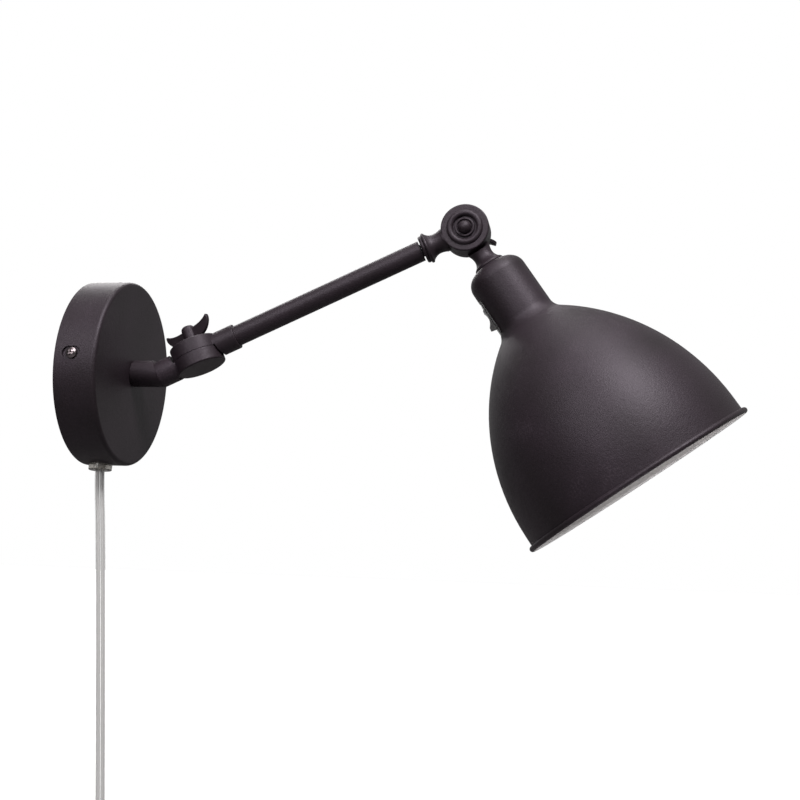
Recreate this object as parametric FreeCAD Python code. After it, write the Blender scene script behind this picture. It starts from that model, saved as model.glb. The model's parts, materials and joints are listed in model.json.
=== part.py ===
import FreeCAD, Part
import math
import os
from FreeCAD import Placement, Rotation, Vector

# Articulating wall lamp. Origin at the centre of the wall cup's back, on the wall plane.
# +X points away from the wall, +Z is up, and the lamp is seen from its -Y side.

# ---- wall cup -------------------------------------------------------------------------
cup_r = 57.5                # outer radius of the cup
cup_depth = 25.7            # wall plane to the cup's front face
cup_wall = 1.2              # sheet thickness
cup_edge = 2.4              # outer radius of the pressed front edge
cup_turn = 13.2             # the cup stands this far round, about X, from upright
fixing_x = 10.4             # height of the side screws and of the cord gland above the wall
seat_len = 11.4             # pressed seat of a side screw, along X
seat_width = 8.0
seat_depth = 1.2            # floor of the seat below the cup's surface
seat_rim = 1.2              # metal round the seat on the inside
seat_slot_len = 7.2
seat_slot_width = 4.4

# ---- wall bracket ---------------------------------------------------------------------
strip_thk = 1.5             # strip steel of the bracket
strip_width = 14.0
tongue_margin = 1.0         # metal round the terminal block's foot
tab_rise = 16.0             # the tabs stand this far off the wall
tab_bend = 2.6              # outside radius of each bend
wall_screw_pcd = 70.0       # distance between the two wall screw holes
wall_screw_r = 2.25
side_screw_r = 1.95         # M4 screw
side_screw_len = 8.0
side_head_r = 3.25
side_head_h = 2.3
thread_gap = 0.05           # radial gap drawn at a screwed joint
cross_len = 3.6             # cross recess of the side screws
cross_width = 0.8
cross_depth = 1.3

# ---- terminal block -------------------------------------------------------------------
block_z = -27.0             # block centre below the stem axis
block_len = 16.0            # along the wires
block_width = 17.0
block_body_h = 10.0         # the towers stand on this
tower_r = 3.6
tower_h = 3.4
pole_pitch = 9.4            # between the two poles
pole_tube_r = 2.2
pole_tube_bore = 1.6
pole_screw_r = 1.3
block_screw_r = 1.25        # M2.5 screw that holds the block
block_head_r = 2.1
block_head_h = 1.8

# ---- cord gland -----------------------------------------------------------------------
cord_r = 3.0                # round 2-core lead
core_r = 1.1                # one insulated core
gland_flange_r = 7.05
gland_flange_h = 3.6
gland_body_r = 4.9
gland_inside = 6.6          # how far the gland's body reaches into the cup
gland_nut_af = 13.0
gland_nut_h = 3.6
cord_fit = 0.05             # radial gap between the cord and the gland
tail_len = 6.0              # sheath inside the cup, past the gland

# ---- stem and swing knuckle -----------------------------------------------------------
stem_r = 8.3
stem_corner_x = 44.5        # the stem and barrel axes meet here
barrel_r = 8.5
barrel_back = 1.4           # the barrel's flat back lies this far behind the corner
arm_rise = 25.0             # the arm climbs at this angle
arm_turn = 9.8              # the arm stands this far round, about X, from upright
knuckle_reach = 25.1        # corner to knuckle axis, along the barrel
knuckle_r = 15.4            # discs of the swing knuckle
tilt_r = 14.9               # discs of the tilt joint
half_thk = 7.5              # barrel axis to the outer face of a half
half_inset = 0.95           # barrel axis to the inner face of a half
half_gap = 0.3              # between the two halves
half_edge = 0.9             # rounding of the discs' outer edges
relief_gap = 1.2            # between a barrel and the other half's disc
tilt_relief_gap = 1.7       # wider at the tilt joint, whose beads pass each other
bolt_r = 2.9                # M6 clutch bolts
bolt_gap = 0.08             # running gap on the bolts
washer_r = 14.0             # friction washer
washer_bore = 11.2
washer_recess = 0.35        # depth of its seat in each half
chamber_r = 10.4            # wire chamber in each half
chamber_hub = 5.0
chamber_depth = 4.6
wire_bore = 2.2             # wire way through the castings
wire_lift = 1.3             # its axis lies this far inside its own half
stud_depth = 6.2            # how deep the knuckle stud sits in the elbow
socket_r = 8.0              # arm socket
socket_len = 27.7           # knuckle axis to the socket's end face
socket_depth = 10.0         # how deep the tube sits in the socket
end_chamfer = 0.5

# ---- threaded tubes -------------------------------------------------------------------
pipe_r = 5.0                # M10 x 1 threaded tube
pipe_bore = 3.6
small_pipe_r = 4.0          # M8 x 1 threaded tube
small_pipe_bore = 2.9
pipe_nut_af = 14.0
pipe_nut_h = 3.0
tooth_washer_r = 8.5
tooth_washer_thk = 0.8
stem_pipe_in = 8.0          # nipple's length inside the stem
stem_pipe_out = 7.4         # and behind the cup's front wall
pivot_gap = 0.08            # running gap where the nipple turns in the cup

# ---- arm ------------------------------------------------------------------------------
arm_len = 184.8             # swing axis to tilt axis
tube_r = 6.5
tube_wall = 1.0
tip_gap = 0.9               # bare nipple between tube and collar
insert_len = 9.0            # threaded insert in the tube's tip
tip_pipe_in = 8.0           # nipple's length inside the collar

# ---- tilt joint -----------------------------------------------------------------------
head_angle = 80.93          # from the arm's direction down to the shade's axis
neck_x = 13.0               # the turned collars start here, from the tilt axis
neck_bead_x = 15.6          # end of the small bead beside the disc
neck_bead_r = 7.5
neck_r = 7.1
waist_x = 19.6              # thinnest place of both collars
waist_r = 6.35
arm_flare_x = 24.9          # the cavetto ends here on the arm side
arm_flare_r = 8.9
arm_bead_r = 9.8            # large bead
arm_bead_x = 27.0           # its end
arm_lip_r = 8.5             # small bead beside it
arm_collar_x = 29.2         # the collar's end face
head_flare_x = 25.3
head_flare_r = 9.3
head_lip_r = 9.8
head_collar_x = 27.6        # the shade hangs here
boss_seat_w = 7.2           # heights of the front rings, from the arm's axis
boss_ring_w = 8.2
boss_groove_w = 6.8
boss_bead_w = 9.0
boss_seat_r = 4.6           # radii of the front rings
boss_ring_r = 6.0
boss_groove_r = 7.2
boss_bead_r = 11.2
ball_r = 4.3                # domed bolt head
ball_w = 7.0                # its centre
square_side = 5.2           # square neck under the domed head
square_depth = 3.0
bolt_into_nut = 9.4

# ---- wing nuts ------------------------------------------------------------------------
wing_boss_r = 4.25
wing_boss_h = 12.0
wing_dome = 2.6             # rounding of the boss's top
wing_thk = 2.6
wing_reach = 17.5           # from the nut's axis to the side of a wing
wing_tip_h = 12.4           # its tip, above the nut's base
wing_tip_round = 0.9
wing_foot_r = 12.8          # its lower edge turns upwards here
wing_foot_h = 3.4
wing_root_top = 9.6         # the wing meets the boss between these heights
wing_root_low = 1.0
wing_edge = 0.6
knuckle_wing_turn = -21.0   # where the wings stand, about the knuckle axis
tilt_wing_turn = -46.0

# ---- shade ----------------------------------------------------------------------------
shade_wall = 0.9
shade_neck_r = 18.45
shade_shoulder = 9.0        # rounding of the neck's top
bell_arc = 126.7            # radius of the bell's outline
bell_wide_x = 172.6         # where the bell is widest
bell_r = 71.4               # radius there
bell_fillet = 9.5           # between neck and bell
rim_x = 181.4               # centre of the rolled rim
rim_bead = 1.6              # radius of the roll
shade_pipe_in = 6.0         # nipple's length inside the collar
shade_pipe_out = 7.5        # and inside the shade

# ---- lampholder and bulb --------------------------------------------------------------
strap_thk = 1.5             # bent strap that carries the lampholder
strap_width = 11.0
strap_bend = 7.5            # outside radius of its two bends
strap_reach = 15.5          # shade axis to the strap's outer face
strap_end = 7.5             # the strap runs this far past the axis
strap_low_x = 71.0          # underside of the strap's lower leg
holder_pipe_up = 5.0
holder_pipe_down = 6.0
holder_r = 13.9
holder_top_r = 8.0
holder_cap_len = 15.0
holder_len = 42.0           # strap to the holder's mouth
holder_wall = 1.5
holder_floor = 3.0
shell_r = 7.9               # brass screw shell
shell_wall = 0.5
shell_x = 19.5              # shell's near end, below the strap
shell_len = 18.0
contact_w = 4.0
contact_thk = 0.5
bulb_cap_r = 6.9            # E14
bulb_cap_len = 16.0
bulb_cap_x = 20.8           # the cap's contact end, below the strap
bulb_base_r = 11.5
bulb_base_x = 45.0          # where the base meets the globe, below the strap
bulb_globe_r = 22.5
bulb_globe_x = 71.0         # globe's centre, below the strap
eyelet_r = 3.0
eyelet_h = 1.5

# ---- rocker switch --------------------------------------------------------------------
switch_x = 55.5             # switch centre, from the tilt axis
bezel_len = 22.4
bezel_width = 15.2
bezel_thk = 1.15
bezel_fit = 0.02            # between the bezel's underside and the neck
switch_cut_len = 24.4       # cut-out in the neck
switch_cut_width = 14.2
switch_len = 19.0
switch_width = 12.8
switch_deep = 12.0
well_len = 14.4             # opening for the rocker
well_width = 9.4
well_deep = 6.4
rocker_len = 12.4
rocker_width = 8.6
rocker_lip = 2.3            # height of its raised ends above the bezel
rocker_dip = 0.7            # and of its middle
rocker_skirt = 3.0          # depth below the bezel
rocker_pivot = 1.6          # its axis below the bezel's face
rocker_tilt = 12.0          # each way from level
pivot_pin_r = 1.2
spade_width = 4.8
spade_thk = 0.8
spade_len = 6.4
spade_pitch = 9.0

# ---- free cord, coil and plug ---------------------------------------------------------
cord_lead = 8.0             # the cord leaves the gland straight for this length
drop_end_z = -278.0         # the straight drop ends here, below the cup's centre
cord_run = 21.0             # each run between the drop and the coil
coil_outer = 44.5           # radius of the outermost turn, to the cord's centre
coil_pitch = 6.6            # from turn to turn and from layer to layer
coil_turns = 3.5            # turns in the first layer, and nearly as many in the second
coil_entry = 66.0           # the cord meets the coil this far from its left side
tie_width = 9.0
tie_thk = 1.2
tie_slack = 1.1
plug_tail = 24.0            # straight cord from the coil to the strain relief
plug_sleeve_len = 20.0      # tapered strain relief
plug_sleeve_r = 4.8
plug_sleeve_tip_r = 3.9
plug_sleeve_rings = 4
plug_len = 36.0
plug_width = 35.0
plug_thk = 13.5
plug_edge = 3.4
pin_r = 2.0
pin_len = 19.0
pin_pitch = 18.6

X, Y, Z = Vector(1, 0, 0), Vector(0, 1, 0), Vector(0, 0, 1)
ORIGIN = Vector(0, 0, 0)


# ---- small helpers --------------------------------------------------------------------
def rod(radius, start, end, axis=X, base=ORIGIN):
    """Cylinder along an axis, from one coordinate on it to another."""
    return Part.makeCylinder(radius, end - start, base + axis * start, axis)


def pipe(radius, bore, start, end, axis=X, base=ORIGIN):
    overrun = 1.0
    return rod(radius, start, end, axis, base).cut(
        rod(bore, start - overrun, end + overrun, axis, base))


def box(x0, x1, y0, y1, z0, z1):
    return Part.makeBox(x1 - x0, y1 - y0, z1 - z0, Vector(x0, y0, z0))


def hexagon(across_flats, start, end, axis=X, base=ORIGIN):
    """Hexagonal prism along an axis."""
    side = axis.cross(Z if abs(axis.z) < 0.9 else X).normalize()
    corner_r = across_flats / 2 / math.cos(math.pi / 6)
    ring = [base + axis * start + Rotation(axis, 60 * i).multVec(side * corner_r) for i in range(7)]
    return Part.Face(Part.makePolygon(ring)).extrude(axis * (end - start))


def slot_prism(length, width, start, end):
    """Prism with round ends, its length along X, raised along Y."""
    half, r = length / 2 - width / 2, width / 2
    a, b, c, d = Vector(-half, start, -r), Vector(half, start, -r), Vector(half, start, r), Vector(-half, start, r)
    wire = Part.Wire([
        Part.LineSegment(a, b).toShape(),
        Part.Arc(b, Vector(half + r, start, 0), c).toShape(),
        Part.LineSegment(c, d).toShape(),
        Part.Arc(d, Vector(-half - r, start, 0), a).toShape()])
    return Part.Face(wire).extrude(Y * (end - start))


def outline(*steps):
    """Closed face in the XY plane. A step is a point, or (via, point) for an arc through via."""
    points = [Vector(*step[1]) if isinstance(step[0], tuple) else Vector(*step) for step in steps]
    edges = []
    for i, step in enumerate(steps[1:] + steps[:1]):
        here, there = points[i], points[(i + 1) % len(points)]
        if isinstance(step[0], tuple):
            edges.append(Part.Arc(here, Vector(*step[0]), there).toShape())
        elif here.distanceToPoint(there) > 1e-6:
            edges.append(Part.LineSegment(here, there).toShape())
    return Part.Face(Part.Wire(edges))


def curve(*points):
    """Smooth edge through a few points of the XY plane."""
    spline = Part.BSplineCurve()
    spline.interpolate([Vector(*point) for point in points])
    return spline.toShape()


def turned(*steps):
    """Solid of revolution about X, from an outline of (x, radius) points."""
    return outline(*steps).revolve(ORIGIN, X, 360)


def placed(shape, placement):
    moved = shape.copy()
    moved.Placement = placement.multiply(moved.Placement)
    return moved


def frame_at(origin, x_axis, z_axis):
    return Placement(origin, Rotation(x_axis, z_axis.cross(x_axis), z_axis, "ZXY"))


def arc_mid(cx, cr, radius, angle):
    """Point of an arc in an outline, its angle in degrees from the X axis."""
    return (cx + radius * math.cos(math.radians(angle)), cr + radius * math.sin(math.radians(angle)))


# ---- frames ---------------------------------------------------------------------------
cup_frame = Placement(ORIGIN, Rotation(X, -cup_turn))
arm_rot = Rotation(X, -arm_turn).multiply(Rotation(Y, -arm_rise))
arm_dir, side_dir, knuckle_dir = arm_rot.multVec(X), arm_rot.multVec(Y), arm_rot.multVec(Z)
half_offset = 2 * half_inset + half_gap       # between the barrel axes of the two halves
corner = X * stem_corner_x
elbow_frame = Placement(corner, arm_rot)
knuckle_centre = corner + arm_dir * knuckle_reach + knuckle_dir * half_offset
arm_frame = Placement(knuckle_centre, arm_rot)
tilt_centre = knuckle_centre + arm_dir * arm_len
head_dir = Rotation(side_dir, head_angle).multVec(arm_dir)
arm_tip_frame = frame_at(tilt_centre, arm_dir * -1, side_dir * -1)
head_frame = frame_at(tilt_centre + side_dir * half_offset, head_dir, side_dir)


# ---- wall part ------------------------------------------------------------------------
def wall_cup():
    inner_r, inner_x = cup_r - cup_wall, cup_depth - cup_wall
    inner_edge = cup_edge - cup_wall
    shell = turned(
        (0, inner_r),
        (0, cup_r),
        (cup_depth - cup_edge, cup_r),
        (arc_mid(cup_depth - cup_edge, cup_r - cup_edge, cup_edge, 45), (cup_depth, cup_r - cup_edge)),
        (cup_depth, pipe_r + pivot_gap),
        (inner_x, pipe_r + pivot_gap),
        (inner_x, inner_r - inner_edge),
        (arc_mid(inner_x - inner_edge, inner_r - inner_edge, inner_edge, 45),
         (inner_x - inner_edge, inner_r)))
    for turn in (0, 180):
        seat_at = Placement(X * fixing_x, Rotation(X, turn))
        floor_r = cup_r - seat_depth
        pad = slot_prism(seat_len + 2 * seat_rim, seat_width + 2 * seat_rim, floor_r - cup_wall, inner_r + 0.3)
        shell = shell.fuse(placed(pad, seat_at))
        shell = shell.cut(placed(slot_prism(seat_len, seat_width, floor_r, cup_r + 1), seat_at))
        shell = shell.cut(placed(slot_prism(seat_slot_len, seat_slot_width, floor_r - 5, floor_r + 5), seat_at))
    gland_hole = rod(gland_body_r + thread_gap, -cup_r - 1, -inner_r + 5, Z, X * fixing_x)
    return shell.cut(gland_hole).removeSplitter()


def wall_bracket():
    reach = cup_r - seat_depth - cup_wall          # the tabs stand against the pressed seats
    strip = box(0, strip_thk, -reach, reach, -strip_width / 2, strip_width / 2)
    tongue_end = block_z - block_len / 2 - tongue_margin
    tongue_half = block_width / 2 + tongue_margin
    strip = strip.fuse(box(0, strip_thk, -tongue_half, tongue_half, tongue_end, 0)).removeSplitter()
    for side in (-1, 1):
        inner, outer = sorted((side * (reach - strip_thk), side * reach))
        tab = box(0, tab_rise, inner, outer, -strip_width / 2, strip_width / 2)
        strip = strip.fuse(tab).removeSplitter()
        bends = [e for e in strip.Edges
                 if abs(e.CenterOfMass.x) < 1e-6 and abs(e.CenterOfMass.y - side * reach) < 1e-6]
        strip = strip.makeFillet(tab_bend, bends)
        strip = strip.cut(rod(side_screw_r + thread_gap, reach - 5, reach + 5, Y * side, X * fixing_x))
        strip = strip.cut(rod(wall_screw_r, -5, 5, X, Y * side * wall_screw_pcd / 2))
    return strip.cut(rod(block_screw_r + thread_gap, -5, 5, X, Z * block_z))


def side_screws():
    floor_r = cup_r - seat_depth
    head = turned((floor_r, 0), (floor_r, side_head_r), (floor_r + side_head_h * 0.55, side_head_r),
                  ((floor_r + side_head_h * 0.9, side_head_r * 0.72), (floor_r + side_head_h, 0)))
    screw = head.fuse(rod(side_screw_r, floor_r - side_screw_len, floor_r))
    top = floor_r + side_head_h
    for turn in (0, 90):
        cross = box(top - cross_depth, top + 1, -cross_len / 2, cross_len / 2, -cross_width / 2, cross_width / 2)
        screw = screw.cut(placed(cross, Placement(ORIGIN, Rotation(X, turn))))
    return Part.makeCompound([
        placed(screw, Placement(X * fixing_x, Rotation(Z, 90 * side))) for side in (-1, 1)])


def terminal_block():
    half_l, half_w = block_len / 2, block_width / 2
    top = strip_thk + block_body_h
    block = box(strip_thk, top, -half_w, half_w, block_z - half_l, block_z + half_l)
    for side in (-1, 1):
        pole = Vector(0, side * pole_pitch / 2, block_z)
        block = block.fuse(rod(tower_r, top - 1, top + tower_h, X, pole))
    for side in (-1, 1):
        pole = Vector(0, side * pole_pitch / 2, block_z)
        block = block.cut(rod(pole_screw_r + 0.5, fixing_x - 2, top + tower_h + 1, X, pole))
        block = block.cut(rod(pole_tube_r, -half_l - 1, half_l + 1, Z, pole + X * fixing_x))
    centre = Z * block_z
    block = block.cut(rod(block_screw_r + thread_gap, 0, 50, X, centre))
    return block.cut(rod(block_head_r + 0.2, top - block_head_h, 50, X, centre))


def pole_tubes():
    tubes = []
    for side in (-1, 1):
        base = Vector(fixing_x, side * pole_pitch / 2, block_z)
        tube = pipe(pole_tube_r, pole_tube_bore, -block_len / 2 + 1, block_len / 2 - 1, Z, base)
        hole = rod(pole_screw_r + thread_gap, 0, 5, X, base)
        tubes.append(tube.cut(hole))
    return Part.makeCompound(tubes)


def pole_screws():
    top = strip_thk + block_body_h + tower_h - 0.6
    screws = []
    for side in (-1, 1):
        base = Vector(0, side * pole_pitch / 2, block_z)
        screw = rod(pole_screw_r, fixing_x + core_r + 0.1, top, X, base)
        slot = box(top - 0.8, top + 1, -5, 5, -0.25, 0.25)
        screws.append(screw.cut(placed(slot, Placement(base, Rotation()))))
    return Part.makeCompound(screws)


def block_screw():
    top = strip_thk + block_body_h
    base = Z * block_z
    screw = rod(block_screw_r, 0.2, top, X, base).fuse(
        rod(block_head_r, top - block_head_h, top, X, base))
    slot = box(top - 0.8, top + 1, -5, 5, -0.35, 0.35)
    return screw.cut(placed(slot, Placement(base, Rotation())))


def cord_gland():
    base = X * fixing_x
    end = cup_r + gland_flange_h
    flange = rod(gland_flange_r, cup_r - 1, end, Z * -1, base)
    rim = [e for e in flange.Edges if abs(e.CenterOfMass.z + end) < 1e-6]
    flange = flange.makeFillet(0.8, rim).cut(rod(cup_r, -50, 50))
    body = rod(gland_body_r, cup_r - gland_inside, end - 1, Z * -1, base)
    return flange.fuse(body).cut(rod(cord_r + cord_fit, 40, end + 1, Z * -1, base)).removeSplitter()


def gland_nut():
    inner_r = cup_r - cup_wall
    seat = math.sqrt(inner_r ** 2 - (gland_nut_af / 2 / math.cos(math.pi / 6)) ** 2)
    nut = hexagon(gland_nut_af, seat - gland_nut_h, seat, Z * -1, X * fixing_x)
    return nut.cut(rod(gland_body_r + thread_gap, 30, 80, Z * -1, X * fixing_x))


def cord_tail():
    """The cord's sheathed end, through the gland into the cup."""
    end = cup_r + gland_flange_h
    return rod(cord_r, cup_r - gland_inside - tail_len, end, Z * -1, X * fixing_x)


# ---- routes of wires and cords --------------------------------------------------------
def corner_arc(start, bend, end):
    """Arc from start to end whose two tangents meet at bend."""
    weight = (end - start).Length / (2 * (bend - start).Length)
    middle = (start + end + bend * (2 * weight)) * (1 / (2 + 2 * weight))
    return Part.Arc(start, middle, end).toShape()


def rounded_route(points, name=None):
    """Straight runs joined by tangent arcs, as large as their two runs allow."""
    edges, at, radii = [], points[0], []
    for before, here, after in zip(points, points[1:], points[2:]):
        back, ahead = before - here, after - here
        trim = 0.45 * min(back.Length, ahead.Length)
        radii.append(trim / math.tan((math.pi - back.getAngle(ahead)) / 2))
        start, end = here + back.normalize() * trim, here + ahead.normalize() * trim
        edges += [Part.LineSegment(at, start).toShape(), corner_arc(start, here, end)]
        at = end
    edges.append(Part.LineSegment(at, points[-1]).toShape())
    if name:
        print(name, "bend radii", [round(r, 1) for r in radii])
    return Part.Wire(edges)


def swept(wire, radius):
    first = wire.OrderedEdges[0]
    circle = Part.Circle(first.valueAt(first.FirstParameter), first.tangentAt(first.FirstParameter), radius)
    return wire.makePipeShell([Part.Wire(circle.toShape())], True, False)


def inner_cores():
    """Two cores from the cord's tail to the block, and two from the block into the stem."""
    tail_top = -(cup_r - gland_inside - tail_len)
    block_low, block_high = block_z - block_len / 2 + 1, block_z + block_len / 2 - 1
    cores = []
    for side in (-1, 1):
        y0, y1 = side * (core_r + 0.15), side * pole_pitch / 2
        low = [Vector(fixing_x, y0, tail_top), Vector(fixing_x, y0, tail_top + 2.4),
               Vector(fixing_x, y1, block_low - 3.5), Vector(fixing_x, y1, block_low + 3)]
        high = [Vector(fixing_x, y1, block_high - 3), Vector(fixing_x, y1, block_high + 5),
                Vector(fixing_x + 1, y0 * 1.6, -5), Vector(fixing_x + 6.5, y0, 0), Vector(fixing_x + 14, y0, 0)]
        cores += [swept(rounded_route(low), core_r), swept(rounded_route(high), core_r)]
    return Part.makeCompound(cores)


# ---- elbow ----------------------------------------------------------------------------
def stem_nipple():
    return pipe(pipe_r, pipe_bore, cup_depth - cup_wall - stem_pipe_out, cup_depth + stem_pipe_in)


def stem_washer():
    """Toothed lock washer between the cup and the nut."""
    end = cup_depth - cup_wall
    washer = pipe(tooth_washer_r, pipe_r + thread_gap, end - tooth_washer_thk, end)
    notches = [rod(0.8, end - 2, end + 1, X, Rotation(X, 30 * i).multVec(Z * tooth_washer_r)) for i in range(12)]
    return washer.cut(Part.makeCompound(notches))


def stem_locknut():
    end = cup_depth - cup_wall - tooth_washer_thk
    return hexagon(pipe_nut_af, end - pipe_nut_h, end).cut(rod(pipe_r + thread_gap, 0, 50))


def disc_half(radius, front=None):
    """One half of a knuckle, without its barrel. The joint axis is Z; the barrel axis lies at z = 0."""
    disc = rod(radius, -half_inset, half_thk, Z)
    if front:
        return disc.fuse(front)
    rim = [e for e in disc.Edges if abs(e.CenterOfMass.z - half_thk) < 1e-6 and e.Length > radius]
    return disc.makeFillet(half_edge, rim)


def hollow_half(casting, relief_r, channel_start, channel_end):
    """Relief for the other disc, washer seat, wire chamber and wire way of a knuckle half."""
    low = -half_inset
    relief = rod(relief_r, -4 * half_thk, low, Z)
    seat = pipe(washer_r + thread_gap, washer_bore - thread_gap, low - 1, low + washer_recess, Z)
    chamber = pipe(chamber_r, chamber_hub, low - 1, low + chamber_depth, Z)
    wires = rod(wire_bore, channel_start, channel_end, X, Z * wire_lift)
    return casting.cut(relief).cut(seat).cut(chamber).cut(wires)


def elbow():
    """Stem, inclined barrel and lower knuckle disc, one casting, in the elbow's frame."""
    slope = math.radians(arm_rise)
    stem_run = barrel_r * math.sin(slope) - barrel_back * math.cos(slope)
    barrel = rod(barrel_r, -barrel_back - knuckle_reach, -chamber_hub)
    back = [e for e in barrel.Edges if abs(e.CenterOfMass.x + barrel_back + knuckle_reach) < 1e-6]
    barrel = barrel.makeFillet(end_chamfer, back).cut(rod(knuckle_r, half_thk, 4 * half_thk, Z))
    half = disc_half(knuckle_r).fuse(barrel)
    half = hollow_half(half, knuckle_r + relief_gap, -knuckle_reach, -chamber_hub - 1)
    casting = placed(half, elbow_frame.multiply(Placement(X * knuckle_reach, Rotation(X, 180))))
    stem = rod(stem_r, cup_depth, stem_corner_x + stem_run)
    foot = [e for e in stem.Edges if abs(e.CenterOfMass.x - cup_depth) < 1e-6]
    outside = pipe(4 * barrel_r, barrel_r, -barrel_back, 4 * barrel_r, arm_dir, corner)
    casting = casting.fuse(stem.makeChamfer(end_chamfer, foot).cut(outside))
    casting = casting.cut(rod(pipe_r + thread_gap, 0, cup_depth + stem_pipe_in))
    casting = casting.cut(rod(pipe_bore, 0, stem_corner_x))
    stud_seat = knuckle_centre - knuckle_dir * (half_offset - half_inset + stud_depth)
    return casting.cut(rod(bolt_r + thread_gap, 0, 50, knuckle_dir, stud_seat)).removeSplitter()


def knuckle_stud():
    base = half_inset - half_offset - stud_depth
    return placed(rod(bolt_r, base, half_thk + bolt_into_nut, Z), arm_frame)


def friction_washer(joint_frame):
    """Fibre washer between two halves, in the frame of the half it lies on."""
    low = -half_inset - half_gap - washer_recess
    return placed(pipe(washer_r, washer_bore, low, -half_inset + washer_recess, Z), joint_frame)


# ---- arm ------------------------------------------------------------------------------
def swing_knuckle():
    """Upper knuckle half with the arm's socket."""
    over = rod(knuckle_r, half_thk, 4 * half_thk, Z)
    socket = rod(socket_r, chamber_hub, socket_len)
    rim = [e for e in socket.Edges if abs(e.CenterOfMass.x - socket_len) < 1e-6]
    casting = disc_half(knuckle_r).fuse(socket.makeFillet(end_chamfer, rim).cut(over))
    casting = hollow_half(casting, knuckle_r + relief_gap, chamber_hub + 1, socket_len)
    casting = casting.cut(rod(tube_r + thread_gap, socket_len - socket_depth, socket_len + 1))
    return placed(casting.cut(rod(bolt_r + bolt_gap, -50, 50, Z)).removeSplitter(), arm_frame)


def arm_tube():
    tip = arm_len - arm_collar_x - tip_gap
    return placed(pipe(tube_r, tube_r - tube_wall, socket_len - socket_depth, tip), arm_frame)


def tip_insert():
    tip = arm_len - arm_collar_x - tip_gap
    return placed(pipe(tube_r - tube_wall, small_pipe_r, tip - insert_len, tip - 0.5), arm_frame)


def tip_nipple():
    start = arm_len - arm_collar_x - tip_gap - insert_len
    end = arm_len - arm_collar_x + tip_pipe_in
    return placed(pipe(small_pipe_r, small_pipe_bore, start, end), arm_frame)


def cavetto(x0, r0, x1, r1, x2, r2):
    """Two concave arcs of a turned collar that meet at its waist, as outline steps from (x0, r0)."""
    steps = []
    for (xa, ra), (xb, rb), waist_first in (((x0, r0), (x1, r1), False), ((x1, r1), (x2, r2), True)):
        rise, run = abs(ra - rb), abs(xb - xa)
        radius = (run ** 2 + rise ** 2) / (2 * rise)
        centre_x, centre_r = (xa if waist_first else xb), r1 + radius
        half = math.asin(run / radius) / 2
        turn = half if waist_first else -half
        middle = (centre_x + radius * math.sin(turn), centre_r - radius * math.cos(turn))
        steps.append((middle, (xb, rb)))
    return steps


def arm_collar():
    bead_mid = (arm_flare_x + arm_bead_x) / 2
    lip_mid = (arm_bead_x + arm_collar_x) / 2
    return turned(
        (chamber_r, 0), (chamber_r, neck_r), (neck_x, neck_r),
        (((neck_x + neck_bead_x) / 2, neck_bead_r), (neck_bead_x, neck_r)),
        *cavetto(neck_bead_x, neck_r, waist_x, waist_r, arm_flare_x, arm_flare_r),
        ((bead_mid, arm_bead_r), (arm_bead_x, arm_lip_r)),
        ((lip_mid, arm_lip_r + 0.25), (arm_collar_x, arm_lip_r - 0.5)),
        (arm_collar_x, 0))


def head_collar():
    lip_mid = (head_flare_x + head_collar_x) / 2
    return turned(
        (chamber_r, 0), (chamber_r, neck_r), (neck_x, neck_r),
        (((neck_x + neck_bead_x) / 2, neck_bead_r), (neck_bead_x, neck_r)),
        *cavetto(neck_bead_x, neck_r, waist_x, waist_r, head_flare_x, head_flare_r),
        ((lip_mid, head_lip_r), (head_collar_x, head_flare_r)),
        (head_collar_x, 0))


def ringed_face():
    """Turned front of the tilt joint: ball seat, small ring, groove, round bead and flat rim."""
    rings = outline(
        (0, 0), (0, boss_seat_w), (boss_seat_r, boss_seat_w),
        (((boss_seat_r + boss_ring_r) / 2, boss_ring_w), (boss_ring_r, boss_groove_w)),
        (boss_groove_r, boss_groove_w),
        (boss_groove_r, half_thk - 0.2),
        (((boss_groove_r + boss_bead_r) / 2, boss_bead_w), (boss_bead_r, half_thk)),
        (tilt_r - half_edge, half_thk),
        (arc_mid(tilt_r - half_edge, half_thk - half_edge, half_edge, 45), (tilt_r, half_thk - half_edge)),
        (tilt_r, 0))
    return rings.revolve(ORIGIN, Y, 360).rotated(ORIGIN, X, 90)


def tilt_front():
    """Arm-side half of the tilt joint, with its turned collar, seen with its rings towards the viewer."""
    disc = rod(tilt_r, -half_inset, 0.5, Z).fuse(ringed_face())
    casting = disc.fuse(arm_collar())
    relief_r = tilt_r + tilt_relief_gap
    casting = hollow_half(casting, relief_r, chamber_hub + 1, arm_collar_x - tip_pipe_in + 1)
    casting = casting.cut(rod(small_pipe_r + thread_gap, arm_collar_x - tip_pipe_in, 50))
    square = box(-square_side / 2, square_side / 2, -square_side / 2, square_side / 2,
                 boss_seat_w - square_depth - 0.2, 50)
    casting = casting.cut(square).cut(rod(bolt_r + bolt_gap, -50, 50, Z))
    return placed(casting.removeSplitter(), arm_tip_frame)


def tilt_bolt():
    """Domed bolt with a square neck, through both halves into the wing nut."""
    side = square_side / 2 - thread_gap
    ball = Part.makeSphere(ball_r, Z * ball_w).common(box(-9, 9, -9, 9, boss_seat_w, 50))
    neck = box(-side, side, -side, side, boss_seat_w - square_depth, boss_seat_w)
    rear = -half_offset - half_thk
    return placed(ball.fuse(neck).fuse(rod(bolt_r, rear - bolt_into_nut, boss_seat_w, Z)), arm_tip_frame)


# ---- head -----------------------------------------------------------------------------
def tilt_rear():
    """Shade-side half of the tilt joint with its collar."""
    casting = disc_half(tilt_r).fuse(head_collar())
    relief_r = tilt_r + tilt_relief_gap
    casting = hollow_half(casting, relief_r, chamber_hub + 1, head_collar_x - shade_pipe_in + 1)
    casting = casting.cut(rod(pipe_r + thread_gap, head_collar_x - shade_pipe_in, 50))
    return placed(casting.cut(rod(bolt_r + bolt_gap, -50, 50, Z)).removeSplitter(), head_frame)


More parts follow.
